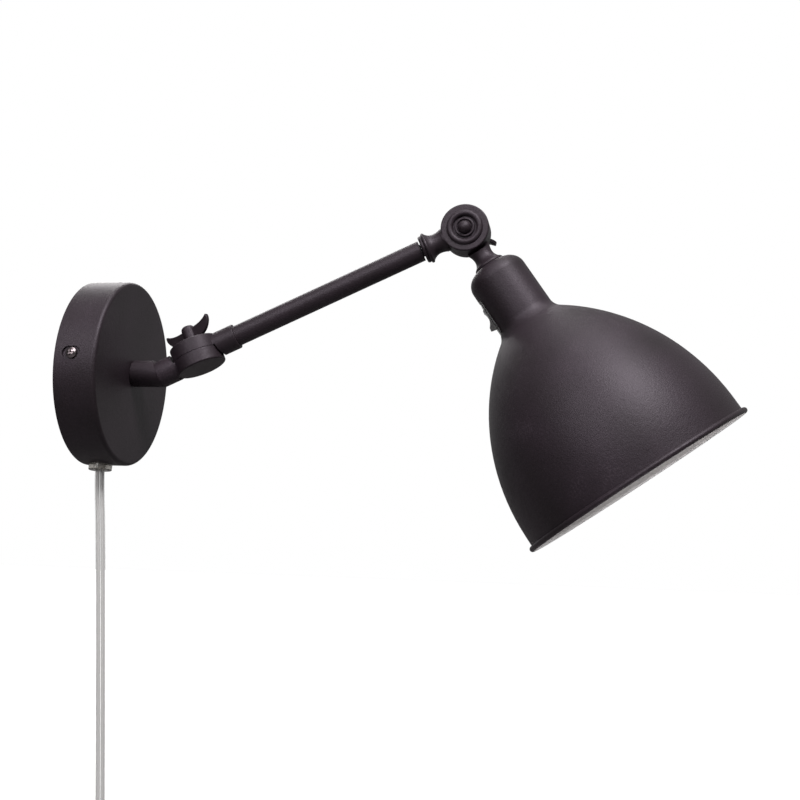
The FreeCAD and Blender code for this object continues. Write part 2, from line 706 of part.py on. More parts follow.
def shade_side(inset):
    """Outline steps of the shade's side, from its top to the rim, set in by a wall thickness."""
    neck, shoulder = shade_neck_r - inset, shade_shoulder - inset
    top = head_collar_x + inset
    fillet, arc = bell_fillet + inset, bell_arc - inset
    bell_centre = bell_r - bell_arc
    fillet_r = shade_neck_r + bell_fillet
    fillet_x = bell_wide_x - math.sqrt((bell_arc + bell_fillet) ** 2 - (fillet_r - bell_centre) ** 2)
    meet = math.degrees(math.atan2(fillet_r - bell_centre, fillet_x - bell_wide_x))
    shoulder_x, shoulder_r = head_collar_x + shade_shoulder, shade_neck_r - shade_shoulder
    return [
        (top, shoulder_r),
        (arc_mid(shoulder_x, shoulder_r, shoulder, 135), (shoulder_x, neck)),
        (fillet_x, neck),
        (arc_mid(fillet_x, fillet_r, fillet, (meet + 180 + 270) / 2),
         arc_mid(fillet_x, fillet_r, fillet, meet + 180)),
        (arc_mid(bell_wide_x, bell_centre, arc, (meet + 90) / 2), (bell_wide_x, bell_r - inset)),
        (rim_x, bell_r - inset)]


def backwards(steps):
    """The same outline steps, run from the last point to the first."""
    points = [step[1] if isinstance(step[0], tuple) else step for step in steps]
    turned_round = [points[-1]]
    for step, point in zip(steps[:0:-1], points[-2::-1]):
        turned_round.append((step[0], point) if isinstance(step[0], tuple) else point)
    return turned_round


def shade():
    """Spun steel bell with its rolled rim, and the switch cut-out in its neck."""
    hole = pipe_r + thread_gap
    roll_r = bell_r - shade_wall + rim_bead
    roll_start = rim_x - math.sqrt(rim_bead ** 2 - (roll_r - bell_r) ** 2)
    body = turned(
        (head_collar_x, hole), *shade_side(0)[:-1], (roll_start, bell_r),
        (arc_mid(rim_x, roll_r, rim_bead, 45), (rim_x, bell_r - shade_wall)),
        *backwards(shade_side(shade_wall))[1:], (head_collar_x + shade_wall, hole))
    half_l, half_w = switch_cut_len / 2, switch_cut_width / 2
    body = body.cut(box(switch_x - half_l, switch_x + half_l, 0, 50, -half_w, half_w))
    return placed(body.removeSplitter(), head_frame)


def shade_nipple():
    return placed(pipe(pipe_r, pipe_bore, head_collar_x - shade_pipe_in, head_collar_x + shade_pipe_out),
                  head_frame)


def shade_locknut():
    seat = head_collar_x + shade_wall + strap_thk
    nut = hexagon(pipe_nut_af, seat, seat + pipe_nut_h).cut(rod(pipe_r + thread_gap, 0, 50))
    return placed(nut, head_frame)


def strap_block(inset):
    """Filled outline of the bent strap, set in by a thickness."""
    top, low = head_collar_x + shade_wall + inset, strap_low_x - inset
    open_end = strap_end + inset
    block = box(top, low, inset - strap_reach, open_end, -strap_width / 2 - inset, strap_width / 2 + inset)
    bends = [e for e in block.Edges
             if abs(e.CenterOfMass.y + strap_reach - inset) < 1e-6 and abs(e.CenterOfMass.z) < 1e-6
             and abs(e.CenterOfMass.x - (top + low) / 2) > 1]
    return block.makeFillet(strap_bend - inset, bends)


def holder_strap():
    """Bent strap that carries the lampholder past the switch."""
    strap = strap_block(0).cut(strap_block(strap_thk))
    return placed(strap.cut(rod(pipe_r + thread_gap, 0, 200)), head_frame)


def holder_nipple():
    return placed(pipe(pipe_r, pipe_bore, strap_low_x - holder_pipe_up, strap_low_x + holder_pipe_down),
                  head_frame)


def holder_locknut():
    end = strap_low_x - strap_thk
    nut = hexagon(pipe_nut_af, end - pipe_nut_h, end).cut(rod(pipe_r + thread_gap, 0, 200))
    return placed(nut, head_frame)


def holder_cap():
    """Domed top of the lampholder, screwed on the nipple."""
    dome = holder_r - holder_top_r
    cap = turned(
        (0, 0), (0, holder_top_r),
        (arc_mid(dome, holder_top_r, dome, 135), (dome, holder_r)),
        (holder_cap_len, holder_r), (holder_cap_len, 0))
    inner = holder_r - holder_wall
    cavity = turned((holder_pipe_down + 1, 0), (holder_pipe_down + 1, inner - 2), (holder_pipe_down + 3, inner),
                    (holder_cap_len + 1, inner), (holder_cap_len + 1, 0))
    cap = cap.cut(cavity).cut(rod(pipe_r + thread_gap, -1, 20))
    return placed(placed(cap, Placement(X * strap_low_x, Rotation())), head_frame)


def holder_skirt():
    inner = holder_r - holder_wall
    skirt = pipe(holder_r, inner, holder_cap_len, holder_len)
    rim = [e for e in skirt.Edges if abs(e.CenterOfMass.x - holder_len) < 1e-6]
    skirt = skirt.makeFillet(0.5, rim)
    floor = rod(inner, holder_cap_len, holder_cap_len + holder_floor)
    return placed(placed(skirt.fuse(floor).removeSplitter(), Placement(X * strap_low_x, Rotation())), head_frame)


def screw_shell():
    """Brass sleeve that takes the bulb's cap, with three feet on the holder's floor."""
    shell = pipe(shell_r, shell_r - shell_wall, shell_x, shell_x + shell_len)
    foot_start = holder_cap_len + holder_floor
    for turn in (90, 210, 330):
        foot = box(foot_start, shell_x + 1, -2, 2, shell_r - shell_wall, shell_r - 0.05)
        shell = shell.fuse(placed(foot, Placement(ORIGIN, Rotation(X, turn))))
    return placed(placed(shell, Placement(X * strap_low_x, Rotation())), head_frame)


def centre_contact():
    """Sprung brass strip that meets the bulb's eyelet."""
    start = holder_cap_len + holder_floor
    top = bulb_cap_x - eyelet_h
    half_w = contact_w / 2
    strip = box(start, start + contact_thk, -half_w, half_w, -6, 1)
    tongue = box(top - contact_thk, top, -half_w, half_w, -3, 3)
    riser = box(start, top, -half_w, half_w, -3 - contact_thk, -3)
    return placed(placed(strip.fuse(riser).fuse(tongue).removeSplitter(),
                         Placement(X * strap_low_x, Rotation())), head_frame)


def bulb_cap():
    """Threaded E14 cap, drawn with round crests."""
    crests = 5
    pitch = 2.82
    start = bulb_cap_x + 2.0
    profile = [(bulb_cap_x, 0), (bulb_cap_x, eyelet_r + 1), (start, bulb_cap_r - 0.7)]
    for i in range(crests):
        profile.append(((start + (i + 0.5) * pitch, bulb_cap_r), (start + (i + 1) * pitch, bulb_cap_r - 0.7)))
    end = bulb_cap_x + bulb_cap_len + 1
    profile += [(end, bulb_cap_r - 0.7), (end, 0)]
    return placed(placed(turned(*profile), Placement(X * strap_low_x, Rotation())), head_frame)


def bulb_eyelet():
    eyelet = turned((bulb_cap_x - eyelet_h, 0), (bulb_cap_x - eyelet_h, eyelet_r - 1),
                    (bulb_cap_x - 0.4, eyelet_r), (bulb_cap_x, eyelet_r), (bulb_cap_x, 0))
    return placed(placed(eyelet, Placement(X * strap_low_x, Rotation())), head_frame)


def bulb_base():
    start = bulb_cap_x + bulb_cap_len + 1
    base = turned((start, 0), (start, bulb_cap_r), (holder_len - 1, bulb_cap_r + 2.4),
                  (bulb_base_x, bulb_base_r), (bulb_base_x, 0))
    return placed(placed(base, Placement(X * strap_low_x, Rotation())), head_frame)


def bulb_globe():
    """Opal ball with a short cone down to its base."""
    run = bulb_globe_x - bulb_base_x
    lean = math.atan2(bulb_base_r, run) + math.acos(bulb_globe_r / math.hypot(run, bulb_base_r))
    tangent = (bulb_globe_x - bulb_globe_r * math.cos(lean), bulb_globe_r * math.sin(lean))
    globe = turned((bulb_base_x, 0), (bulb_base_x, bulb_base_r), tangent,
                   ((bulb_globe_x, bulb_globe_r), (bulb_globe_x + bulb_globe_r, 0)))
    return placed(placed(globe, Placement(X * strap_low_x, Rotation())), head_frame)


# ---- rocker switch, in a frame whose Y leaves the shade's axis --------------------------
bezel_out = math.sqrt(shade_neck_r ** 2 - (switch_cut_width / 2) ** 2) + bezel_fit + bezel_thk
switch_frame = head_frame.multiply(Placement(Vector(switch_x, bezel_out, 0), Rotation()))


def switch_housing():
    bezel = box(-bezel_len / 2, bezel_len / 2, -bezel_thk, 0, -bezel_width / 2, bezel_width / 2)
    rim = [e for e in bezel.Edges if abs(e.CenterOfMass.y) < 1e-6]
    bezel = bezel.makeFillet(0.5, rim)
    body = box(-switch_len / 2, switch_len / 2, -bezel_thk - switch_deep, -bezel_thk,
               -switch_width / 2, switch_width / 2)
    well = box(-well_len / 2, well_len / 2, -well_deep, 1, -well_width / 2, well_width / 2)
    housing = bezel.fuse(body).cut(well)
    return placed(housing.cut(rod(pivot_pin_r, -6, 6, Z, Y * -rocker_pivot)).removeSplitter(), switch_frame)


def switch_rocker():
    """Rocker with a hollow top and two raised ends, tilted to one side, with its pivot pins."""
    half_l, half_w = rocker_len / 2, rocker_width / 2
    face = outline(
        (-half_l, -rocker_skirt), (-half_l, rocker_lip - 0.5),
        ((-half_l + 0.2, rocker_lip - 0.1), (-half_l + 0.8, rocker_lip)),
        ((0, rocker_dip), (half_l - 0.8, rocker_lip)),
        ((half_l - 0.2, rocker_lip - 0.1), (half_l, rocker_lip - 0.5)),
        (half_l, -rocker_skirt), (half_l - 2, -rocker_skirt - 0.6), (-half_l + 2, -rocker_skirt - 0.6))
    rocker = face.extrude(Z * rocker_width).translated(Z * -half_w)
    pins = rod(pivot_pin_r - bolt_gap, -half_w - 1.2, half_w + 1.2, Z, Y * -rocker_pivot)
    rocker = rocker.fuse(pins)
    tilted = Placement(Y * -rocker_pivot, Rotation(Z, rocker_tilt)).multiply(Placement(Y * rocker_pivot, Rotation()))
    return placed(placed(rocker, tilted), switch_frame)


def switch_spades():
    deep = -bezel_thk - switch_deep
    spades = []
    for side in (-1, 1):
        x = side * spade_pitch / 2
        spade = box(x - spade_thk / 2, x + spade_thk / 2, deep - spade_len, deep, -spade_width / 2, spade_width / 2)
        spades.append(spade.cut(rod(0.8, -5, 5, X, Vector(x, deep - spade_len + 2.2, 0))))
    return Part.makeCompound([placed(spade, switch_frame) for spade in spades])


# ---- wing nuts ------------------------------------------------------------------------
def wing_nut():
    """Wing nut on Z, its base at z = 0, with two blades that curve up and out."""
    boss = outline(
        (0, 0), (wing_boss_r, 0), (wing_boss_r, wing_boss_h - wing_dome),
        (arc_mid(wing_boss_r - wing_dome, wing_boss_h - wing_dome, wing_dome, 45),
         (wing_boss_r - wing_dome, wing_boss_h)),
        (0, wing_boss_h)).revolve(ORIGIN, Y, 360)
    root = wing_boss_r * 0.8
    side_h, tip_r = wing_tip_h - wing_tip_round, wing_reach - wing_tip_round
    lower = curve((root, wing_root_low), ((root + wing_foot_r) / 2, wing_root_low + 0.5),
                  (wing_foot_r, wing_foot_h), (wing_reach - 1.3, (wing_foot_h + wing_tip_h) / 2 - 1.1),
                  (wing_reach, side_h - 1.7), (wing_reach, side_h))
    tip = Part.Arc(Vector(wing_reach, side_h), Vector(*arc_mid(tip_r, side_h, wing_tip_round, 45)),
                   Vector(tip_r, wing_tip_h)).toShape()
    upper = curve((tip_r, wing_tip_h), (tip_r - 2.8, wing_tip_h - 1.5),
                  ((root + tip_r) / 2 - 0.5, wing_root_top + 0.2), (root, wing_root_top))
    close = Part.LineSegment(Vector(root, wing_root_top), Vector(root, wing_root_low)).toShape()
    blade = Part.Face(Part.Wire([lower, tip, upper, close])).extrude(Z * wing_thk)
    blade = blade.translated(Z * (-wing_thk / 2))
    rim = [e for e in blade.Edges
           if abs(abs(e.CenterOfMass.z) - wing_thk / 2) < 1e-6 and e.CenterOfMass.x > root + 0.1]
    blade = blade.makeFillet(wing_edge, rim)
    nut = boss.fuse(blade).fuse(blade.rotated(ORIGIN, Y, 180)).rotated(ORIGIN, X, 90)
    return nut.cut(rod(bolt_r + bolt_gap, -1, bolt_into_nut + 0.6, Z)).removeSplitter()


def knuckle_wing_nut():
    seat = Placement(Z * half_thk, Rotation(Z, knuckle_wing_turn))
    return placed(wing_nut(), arm_frame.multiply(seat))


def tilt_wing_nut():
    seat = Placement(Z * half_thk, Rotation(Z, tilt_wing_turn))
    return placed(wing_nut(), head_frame.multiply(seat))


# ---- free cord ------------------------------------------------------------------------
# The cord leaves the gland square to the cup, falls straight, and bends into a tied coil
# that hangs in front of the wall: in over one layer, and out again over the next.
coil_start = -coil_entry / 360                # in turns from the coil's left side, going down first
coil_climb = coil_start + coil_turns          # the climb to the second layer starts here
coil_middle = coil_climb + 0.25               # half way up, where the spiral turns outwards again
coil_inner = coil_outer - coil_pitch * (coil_middle - coil_start)
coil_end = math.floor(coil_middle + coil_turns)


def coil_radius(turn):
    return coil_inner + coil_pitch * abs(turn - coil_middle)


def coil_point(turn):
    """Point of the coil, from its centre in the first layer."""
    climb = min(max((turn - coil_climb) / 0.5, 0), 1)
    angle = math.pi * (1 + 2 * turn)
    radius = coil_radius(turn)
    rise = coil_pitch * (1 - math.cos(math.pi * climb)) / 2
    return Vector(rise, radius * math.cos(angle), radius * math.sin(angle))


def coil_tangent(turn):
    step = 0.002
    return (coil_point(turn + step) - coil_point(turn - step)).normalize()


entry_dir = coil_tangent(coil_start)
entry_dir.x = 0
gland_end = cup_r + gland_flange_h
cord_exit = cup_frame.multVec(Vector(fixing_x, 0, -gland_end))
below_exit = cup_frame.multVec(Vector(fixing_x, 0, -gland_end - cord_lead))
drop_end = Vector(fixing_x, below_exit.y, drop_end_z)
lean = math.radians(coil_entry / 2)
first_bend = drop_end + Vector(0, -math.sin(lean), -math.cos(lean)) * cord_run
coil_join = first_bend + entry_dir * cord_run
coil_first = coil_join + entry_dir * 2 * cord_r
coil_centre = coil_first - coil_point(coil_start)
tail_top = coil_centre + coil_point(coil_end)
tail_end = tail_top - Z * plug_tail


def biarc(p0, t0, p1, t1):
    """Two tangent arcs from one point and direction to another."""
    v, t = p1 - p0, t0 + t1
    spread = 2 * (1 - t0.dot(t1))
    reach = (math.sqrt(v.dot(t) ** 2 + spread * v.dot(v)) - v.dot(t)) / spread
    middle = (p0 + p1 + (t0 - t1) * reach) * 0.5
    return [corner_arc(p0, p0 + t0 * reach, middle), corner_arc(middle, p1 - t1 * reach, p1)]


def coil_wire():
    """A short lead, a biarc for each quarter turn, and the straight tail down to the plug."""
    quarters = int((coil_end - coil_start) * 4)
    turns = [coil_start + i / 4 for i in range(quarters)] + [coil_end]
    tangents = [entry_dir] + [coil_tangent(turn) for turn in turns[1:-1]] + [Z * -1]
    stations = [coil_centre + coil_point(turn) for turn in turns]
    edges = [Part.LineSegment(coil_join, coil_first).toShape()]
    for p0, t0, p1, t1 in zip(stations, tangents, stations[1:], tangents[1:]):
        edges += biarc(p0, t0, p1, t1)
    edges.append(Part.LineSegment(tail_top, tail_end).toShape())
    return Part.Wire(edges)


def report_tube(name, wire, tube):
    """Compare a tube's volume with its section times its length."""
    expected = math.pi * cord_r ** 2 * wire.Length
    print(f"{name} length {wire.Length:.1f}  volume ratio {tube.Volume / expected:.5f}")


def report_gap(wire, apart=60.0, spacing=2.0):
    """Print the least gap between two places of the tube that lie well apart along it."""
    points = wire.discretize(Distance=spacing)
    skip = int(apart / spacing)
    least = min((a - b).Length for i, a in enumerate(points) for b in points[i + skip:])
    print(f"coil's least gap to itself {least - 2 * cord_r:.2f}")


def cord_drop():
    wire = rounded_route([cord_exit, below_exit, drop_end, first_bend, coil_join], "cord")
    tube = swept(wire, cord_r)
    report_tube("cord_drop", wire, tube)
    return tube


def cord_coil():
    wire = coil_wire()
    tube = swept(wire, cord_r)
    report_tube("cord_coil", wire, tube)
    report_gap(wire)
    return tube


def cord_tie():
    """Strap round all turns of the coil, on its right side."""
    right = [turn + 0.5 for turn in range(coil_end)]
    reach_in = min(coil_radius(turn) for turn in right) - cord_r - tie_slack
    reach_out = max(coil_radius(turn) for turn in right) + cord_r + tie_slack
    x0, x1 = -cord_r - tie_slack, coil_pitch + cord_r + tie_slack
    half = tie_width / 2
    inner = box(x0, x1, reach_in, reach_out, -half, half)
    outer = box(x0 - tie_thk, x1 + tie_thk, reach_in - tie_thk, reach_out + tie_thk, -half, half)
    corners = [e for e in inner.Edges if abs(e.Length - tie_width) < 1e-6]
    inner = inner.makeFillet(cord_r - tie_thk, corners)
    corners = [e for e in outer.Edges if abs(e.Length - tie_width) < 1e-6]
    outer = outer.makeFillet(cord_r, corners)
    return outer.cut(inner).translated(coil_centre)


# ---- plug, in a frame whose X runs on from the cord ---------------------------------------
plug_frame = frame_at(tail_end, Z * -1, X)


def plug_strain_relief():
    """Tapered sleeve with grooves between its rings."""
    sleeve = turned((0, 0), (0, plug_sleeve_tip_r), (plug_sleeve_len, plug_sleeve_r), (plug_sleeve_len, 0))
    pitch = plug_sleeve_len / (plug_sleeve_rings + 1)
    for i in range(plug_sleeve_rings):
        x = pitch * (i + 1)
        sleeve = sleeve.cut(pipe(2 * plug_sleeve_r, cord_r + 0.4, x - pitch / 5, x + pitch / 5))
    return placed(sleeve, plug_frame)


def plug_body():
    """Flat two-pin plug: narrow at the cord, widening to its pin face."""
    start, end, half = plug_sleeve_len, plug_sleeve_len + plug_len, plug_width / 2
    narrow = plug_sleeve_r + 1.2
    body = outline(
        (start, -narrow), (start, narrow),
        ((start + plug_len * 0.34, half * 0.62), (start + plug_len * 0.6, half)),
        (end, half), (end, -half), (start + plug_len * 0.6, -half),
        ((start + plug_len * 0.34, -half * 0.62), (start, -narrow))).extrude(Z * plug_thk)
    body = body.translated(Z * (-plug_thk / 2))
    rims = [e for e in body.Edges if abs(abs(e.CenterOfMass.z) - plug_thk / 2) < 1e-6
            and e.CenterOfMass.x < end - 1e-6 and e.CenterOfMass.x > start + 1e-6]
    return placed(body.makeFillet(plug_edge, rims), plug_frame)


def plug_pins():
    start = plug_sleeve_len + plug_len
    pins = []
    for side in (-1, 1):
        pin = rod(pin_r, start, start + pin_len, X, Y * side * pin_pitch / 2)
        tip = [e for e in pin.Edges if abs(e.CenterOfMass.x - start - pin_len) < 1e-6]
        pins.append(placed(pin.makeFillet(pin_r * 0.7, tip), plug_frame))
    return Part.makeCompound(pins)


# ---- sub-parts ------------------------------------------------------------------------
wall_parts = {
    "wall_cup": wall_cup,
    "wall_bracket": wall_bracket,
    "cup_screws": side_screws,
    "terminal_block": terminal_block,
    "terminal_tubes": pole_tubes,
    "terminal_screws": pole_screws,
    "block_screw": block_screw,
    "cord_gland": cord_gland,
    "gland_nut": gland_nut,
    "supply_tail": cord_tail,
    "supply_cores": inner_cores,
}
lamp_parts = {
    "stem_nipple": stem_nipple,
    "stem_washer": stem_washer,
    "stem_locknut": stem_locknut,
    "elbow": elbow,
    "knuckle_stud": knuckle_stud,
    "knuckle_washer": lambda: friction_washer(arm_frame),
    "knuckle_wing_nut": knuckle_wing_nut,
    "swing_knuckle": swing_knuckle,
    "arm_tube": arm_tube,
    "arm_tip_insert": tip_insert,
    "arm_tip_nipple": tip_nipple,
    "tilt_knuckle_front": tilt_front,
    "tilt_bolt": tilt_bolt,
    "tilt_washer": lambda: friction_washer(arm_tip_frame),
    "tilt_wing_nut": tilt_wing_nut,
    "tilt_knuckle_rear": tilt_rear,
    "shade": shade,
    "shade_nipple": shade_nipple,
    "shade_locknut": shade_locknut,
    "holder_strap": holder_strap,
    "holder_nipple": holder_nipple,
    "holder_locknut": holder_locknut,
    "holder_cap": holder_cap,
    "holder_skirt": holder_skirt,
    "holder_screw_shell": screw_shell,
    "holder_contact": centre_contact,
    "bulb_cap": bulb_cap,
    "bulb_eyelet": bulb_eyelet,
    "bulb_base": bulb_base,
    "bulb_globe": bulb_globe,
    "switch_housing": switch_housing,
    "switch_rocker": switch_rocker,
    "switch_spades": switch_spades,
    "cord_drop": cord_drop,
    "cord_coil": cord_coil,
    "cord_tie": cord_tie,
    "plug_strain_relief": plug_strain_relief,
    "plug_body": plug_body,
    "plug_pins": plug_pins,
}


def export(name, shape):
    solids = shape.Solids
    assert solids and all(solid.isValid() for solid in solids), name
    shape = solids[0] if len(solids) == 1 else Part.makeCompound(solids)
    shape.exportStep(os.path.join("parts", name + ".step"))
    print(f"{name:20s} solids {len(solids)}  volume {shape.Volume:9.1f}")


os.makedirs("parts", exist_ok=True)
for name, make in wall_parts.items():
    export(name, placed(make(), cup_frame))
for name, make in lamp_parts.items():
    export(name, make())
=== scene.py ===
import json
import math

import bmesh
import bpy
from mathutils import Matrix, Vector


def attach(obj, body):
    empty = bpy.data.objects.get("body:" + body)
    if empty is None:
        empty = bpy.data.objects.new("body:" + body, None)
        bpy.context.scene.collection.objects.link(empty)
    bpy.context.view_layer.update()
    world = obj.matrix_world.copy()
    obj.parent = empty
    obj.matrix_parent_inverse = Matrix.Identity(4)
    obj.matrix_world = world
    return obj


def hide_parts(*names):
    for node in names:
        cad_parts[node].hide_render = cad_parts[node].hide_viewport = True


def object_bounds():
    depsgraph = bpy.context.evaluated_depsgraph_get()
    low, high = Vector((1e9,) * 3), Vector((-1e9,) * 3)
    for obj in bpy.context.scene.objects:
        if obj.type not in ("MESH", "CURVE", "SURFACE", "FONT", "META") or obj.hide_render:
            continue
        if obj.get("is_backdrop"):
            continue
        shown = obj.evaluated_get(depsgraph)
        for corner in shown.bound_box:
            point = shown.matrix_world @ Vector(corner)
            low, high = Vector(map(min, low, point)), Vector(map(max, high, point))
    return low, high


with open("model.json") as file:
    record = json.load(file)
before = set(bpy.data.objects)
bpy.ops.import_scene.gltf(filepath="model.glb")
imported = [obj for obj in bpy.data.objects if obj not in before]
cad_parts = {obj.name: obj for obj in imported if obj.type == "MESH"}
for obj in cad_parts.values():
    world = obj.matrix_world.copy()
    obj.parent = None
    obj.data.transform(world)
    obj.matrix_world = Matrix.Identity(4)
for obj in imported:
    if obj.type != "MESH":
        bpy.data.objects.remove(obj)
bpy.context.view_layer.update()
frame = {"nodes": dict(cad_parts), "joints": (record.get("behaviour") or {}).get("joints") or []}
scene = bpy.context.scene
nodes = frame["nodes"]
joints = {joint["name"]: joint for joint in frame["joints"]}
print("frame loaded:", len(nodes), "nodes")

# Sockets of a Mix node that mixes colours, by number, because its other kinds share their names.
mixShare, mixFirst, mixSecond, mixResult = 0, 6, 7, 2


def hexColour(text):
    # a hex sRGB colour as the linear RGBA that the shaders want
    channels = [int(text[i:i + 2], 16) / 255 for i in (0, 2, 4)]
    linear = [c / 12.92 if c <= 0.04045 else ((c + 0.055) / 1.055) ** 2.4 for c in channels]
    return (*linear, 1.0)


def addNode(tree, kind, values=None, links=None):
    # values set sockets, by name or number, and the node's own settings; links feed sockets
    node = tree.nodes.new(kind)
    settings = {k: v for k, v in (values or {}).items() if not isinstance(k, int) and k not in node.inputs}
    for key, value in settings.items():
        setattr(node, key, value)
    for key, value in (values or {}).items():
        if key not in settings:
            node.inputs[key].default_value = value
    for key, source in (links or {}).items():
        tree.links.new(source, node.inputs[key])
    return node


def newMaterial(name):
    material = bpy.data.materials.new(name)
    material.use_nodes = True
    material.node_tree.nodes.clear()
    return material, material.node_tree


def grainScale(size):
    # the scale at which a noise or a cell texture has grains about this many millimetres across
    return 1000 / size


def addPiece(name, data, body):
    piece = bpy.data.objects.new(name, data)
    scene.collection.objects.link(piece)
    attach(piece, body)
    return piece


# Camera: almost level and turned a little towards the wall. Its shift brings in the cord below the lamp.
cameraView = {
    "place": (0.30574, -0.65759, 0.01086),
    "turn": 9.526,              # degrees towards the wall
    "tilt": 2.875,              # degrees upwards
    "roll": 0.246,              # degrees
    "lens": 49.518,             # mm, on the sensor below
    "sensor": 36,
    "shiftY": -0.12203,
    "clip": (0.02, 20),
}


def makeCamera(view):
    data = bpy.data.cameras.new("photoCamera")
    data.lens = view["lens"]
    data.sensor_width = view["sensor"]
    data.shift_y = view["shiftY"]
    data.clip_start, data.clip_end = view["clip"]
    camera = bpy.data.objects.new("photoCamera", data)
    turned = Matrix.Rotation(math.radians(view["turn"]), 3, "Z")
    tilted = Matrix.Rotation(math.radians(90 + view["tilt"]), 3, "X")
    rolled = Matrix.Rotation(math.radians(view["roll"]), 3, "Z")
    camera.location = view["place"]
    camera.rotation_euler = (turned @ tilted @ rolled).to_euler()
    scene.collection.objects.link(camera)
    scene.camera = camera


makeCamera(cameraView)
print("camera made")


# Cord: a clear round mains lead that goes down from the cup, into a small neat coil, and out to its plug.
cord = {
    "diameter": 0.006,
    "length": 1.7187,
    "exit": (0.0104, -0.0139522, -0.0594857),
    "drop": [
        (0.0107, -0.0153, -0.067274),
        (0.0124, -0.015779, -0.0955),
        (0.0152, -0.015779, -0.257),
        (0.0152, -0.015779, -0.278),
        (0.0130, -0.027216, -0.295612),
        (0.0104, -0.046194, -0.304605),
    ],
    "coilCentre": (0.0104, -0.0335164, -0.3478257),
    "coilTurns": (-66 / 360, 7.0),      # where the coil starts and ends, in turns
    "coilInner": 0.01975,               # radius of the middle turn
    "turnPitch": 0.0066,                # from one turn to the next
    "climb": (3.31667, 0.5),            # where the cord climbs to the second layer, and over how much
    "pointsPerTurn": 24,
    "tailEnd": (0.017, -0.0759264, -0.3718257),
    "roundness": 5,                     # bevel resolution of its outline
    "sheathSteps": 6,                   # along it, from one point of the route to the next
    "lineSteps": 8,                     # the same, for the line that the cores follow
}
cores = {
    "diameter": 0.0023,
    "offset": 0.00133,      # each core's centre from the cord's
    "twist": 4.0,           # length of one full turn of the pair, which lies nearly straight
    "phase": -0.68,         # radians at the exit, so that the two lie side by side across the view
    "step": 0.0022,         # from one point of a core's line to the next
}


def coilPoint(turn, swell):
    climbStart, climbLength = cord["climb"]
    middle = climbStart + climbLength / 2
    radius = (cord["coilInner"] + cord["turnPitch"] * abs(turn - middle)) * swell
    risen = min(max((turn - climbStart) / climbLength, 0), 1)
    x, y, z = cord["coilCentre"]
    angle = math.pi * (1 + 2 * turn)
    return (
        x + cord["turnPitch"] * (1 - math.cos(math.pi * risen)) / 2,
        y + radius * math.cos(angle),
        z + radius * math.sin(angle),
    )


def cordRoute():
    first, last = cord["coilTurns"]
    steps = round((last - first) * cord["pointsPerTurn"])
    # a spline runs a little inside its points, so the turns' points stand a little out
    inside = 1 - (1 - math.cos(2 * math.pi / cord["pointsPerTurn"])) / 4
    coil = [coilPoint(first + (last - first) * i / steps, 1 / inside) for i in range(steps + 1)]
    return [cord["exit"], *cord["drop"], *coil, cord["tailEnd"]]


def splineCurve(name, routes, radius, splineType, steps):
    data = bpy.data.curves.new(name, "CURVE")
    data.dimensions = "3D"
    # each point carries the radius itself, so that the object's bounds don't grow by a metre
    data.bevel_depth = 1 if radius else 0
    data.bevel_resolution = cord["roundness"]
    data.resolution_u = steps
    data.use_fill_caps = radius > 0
    for route in routes:
        spline = data.splines.new(splineType)
        spline.points.add(len(route) - 1)
        for point, place in zip(spline.points, route):
            point.co = (*place, 1)
            point.radius = radius
        if splineType == "NURBS":
            spline.order_u = 3
            spline.use_endpoint_u = True
    return data


def lineOf(route):
    # the points of the cord's own smooth line, read from a copy with no thickness
    bare = bpy.data.objects.new("bareLine", splineCurve("bareLine", [route], 0, "NURBS", cord["lineSteps"]))
    scene.collection.objects.link(bare)
    graph = bpy.context.evaluated_depsgraph_get()
    mesh = bpy.data.meshes.new_from_object(bare.evaluated_get(graph))
    points = [v.co.copy() for v in mesh.vertices]
    bpy.data.objects.remove(bare)
    bpy.data.meshes.remove(mesh)
    return points


def evenStations(points, step):
    # place, direction and distance, at every step along a line of points
    stations = []
    walked = 0.0
    target = 0.0
    for a, b in zip(points, points[1:]):
        span = (b - a).length
        while span and target <= walked + span:
            stations.append((a.lerp(b, (target - walked) / span), (b - a).normalized(), target))
            target += step
        walked += span
    return stations


def coreLines(line):
    # the two cores' lines, side by side round the cord's own
    side = Vector((1, 0, 0))
    lines = [[], []]
    for place, along, distance in evenStations(line, cores["step"]):
        side = (side - along * side.dot(along)).normalized()
        across = along.cross(side)
        angle = 2 * math.pi * distance / cores["twist"] + cores["phase"]
        out = (side * math.cos(angle) + across * math.sin(angle)) * cores["offset"]
        lines[0].append(place + out)
        lines[1].append(place - out)
    return lines


route = cordRoute()
sheathCurve = splineCurve("cord_sheath", [route], cord["diameter"] / 2, "NURBS", cord["sheathSteps"])
sheath = addPiece("cord_sheath", sheathCurve, "root")
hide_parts("cord_drop", "cord_coil")

coreCurve = splineCurve("cord_cores", coreLines(lineOf(route)), cores["diameter"] / 2, "POLY", 1)
pair = addPiece("cord_cores", coreCurve, "root")
print("cord made:", len(route), "points")


# Pip on the cup's top: a low round bead of the coat, left where the cup hung to be sprayed.
pip = {
    "place": 0.0147,        # along the cup's axis
    "lean": 3.0,            # degrees round the cup, from its top towards its far side
    "cupRadius": 0.0575,
    "radius": 0.00175,
    "height": 0.0006,
    "sunk": 0.00015,
    "sides": 32,
    "rings": 16,
}


def fixOrder(shape):
    # a cut leaves edges and faces in an order that changes from run to run; their corners don't change
    shape.verts.index_update()
    count = len(shape.verts)

    def byCorners(part):
        order = 0
        for corner in sorted(vert.index for vert in part.verts)[:3]:
            order = order * count + corner
        return order

    shape.edges.sort(key=byCorners)
    shape.faces.sort(key=byCorners)


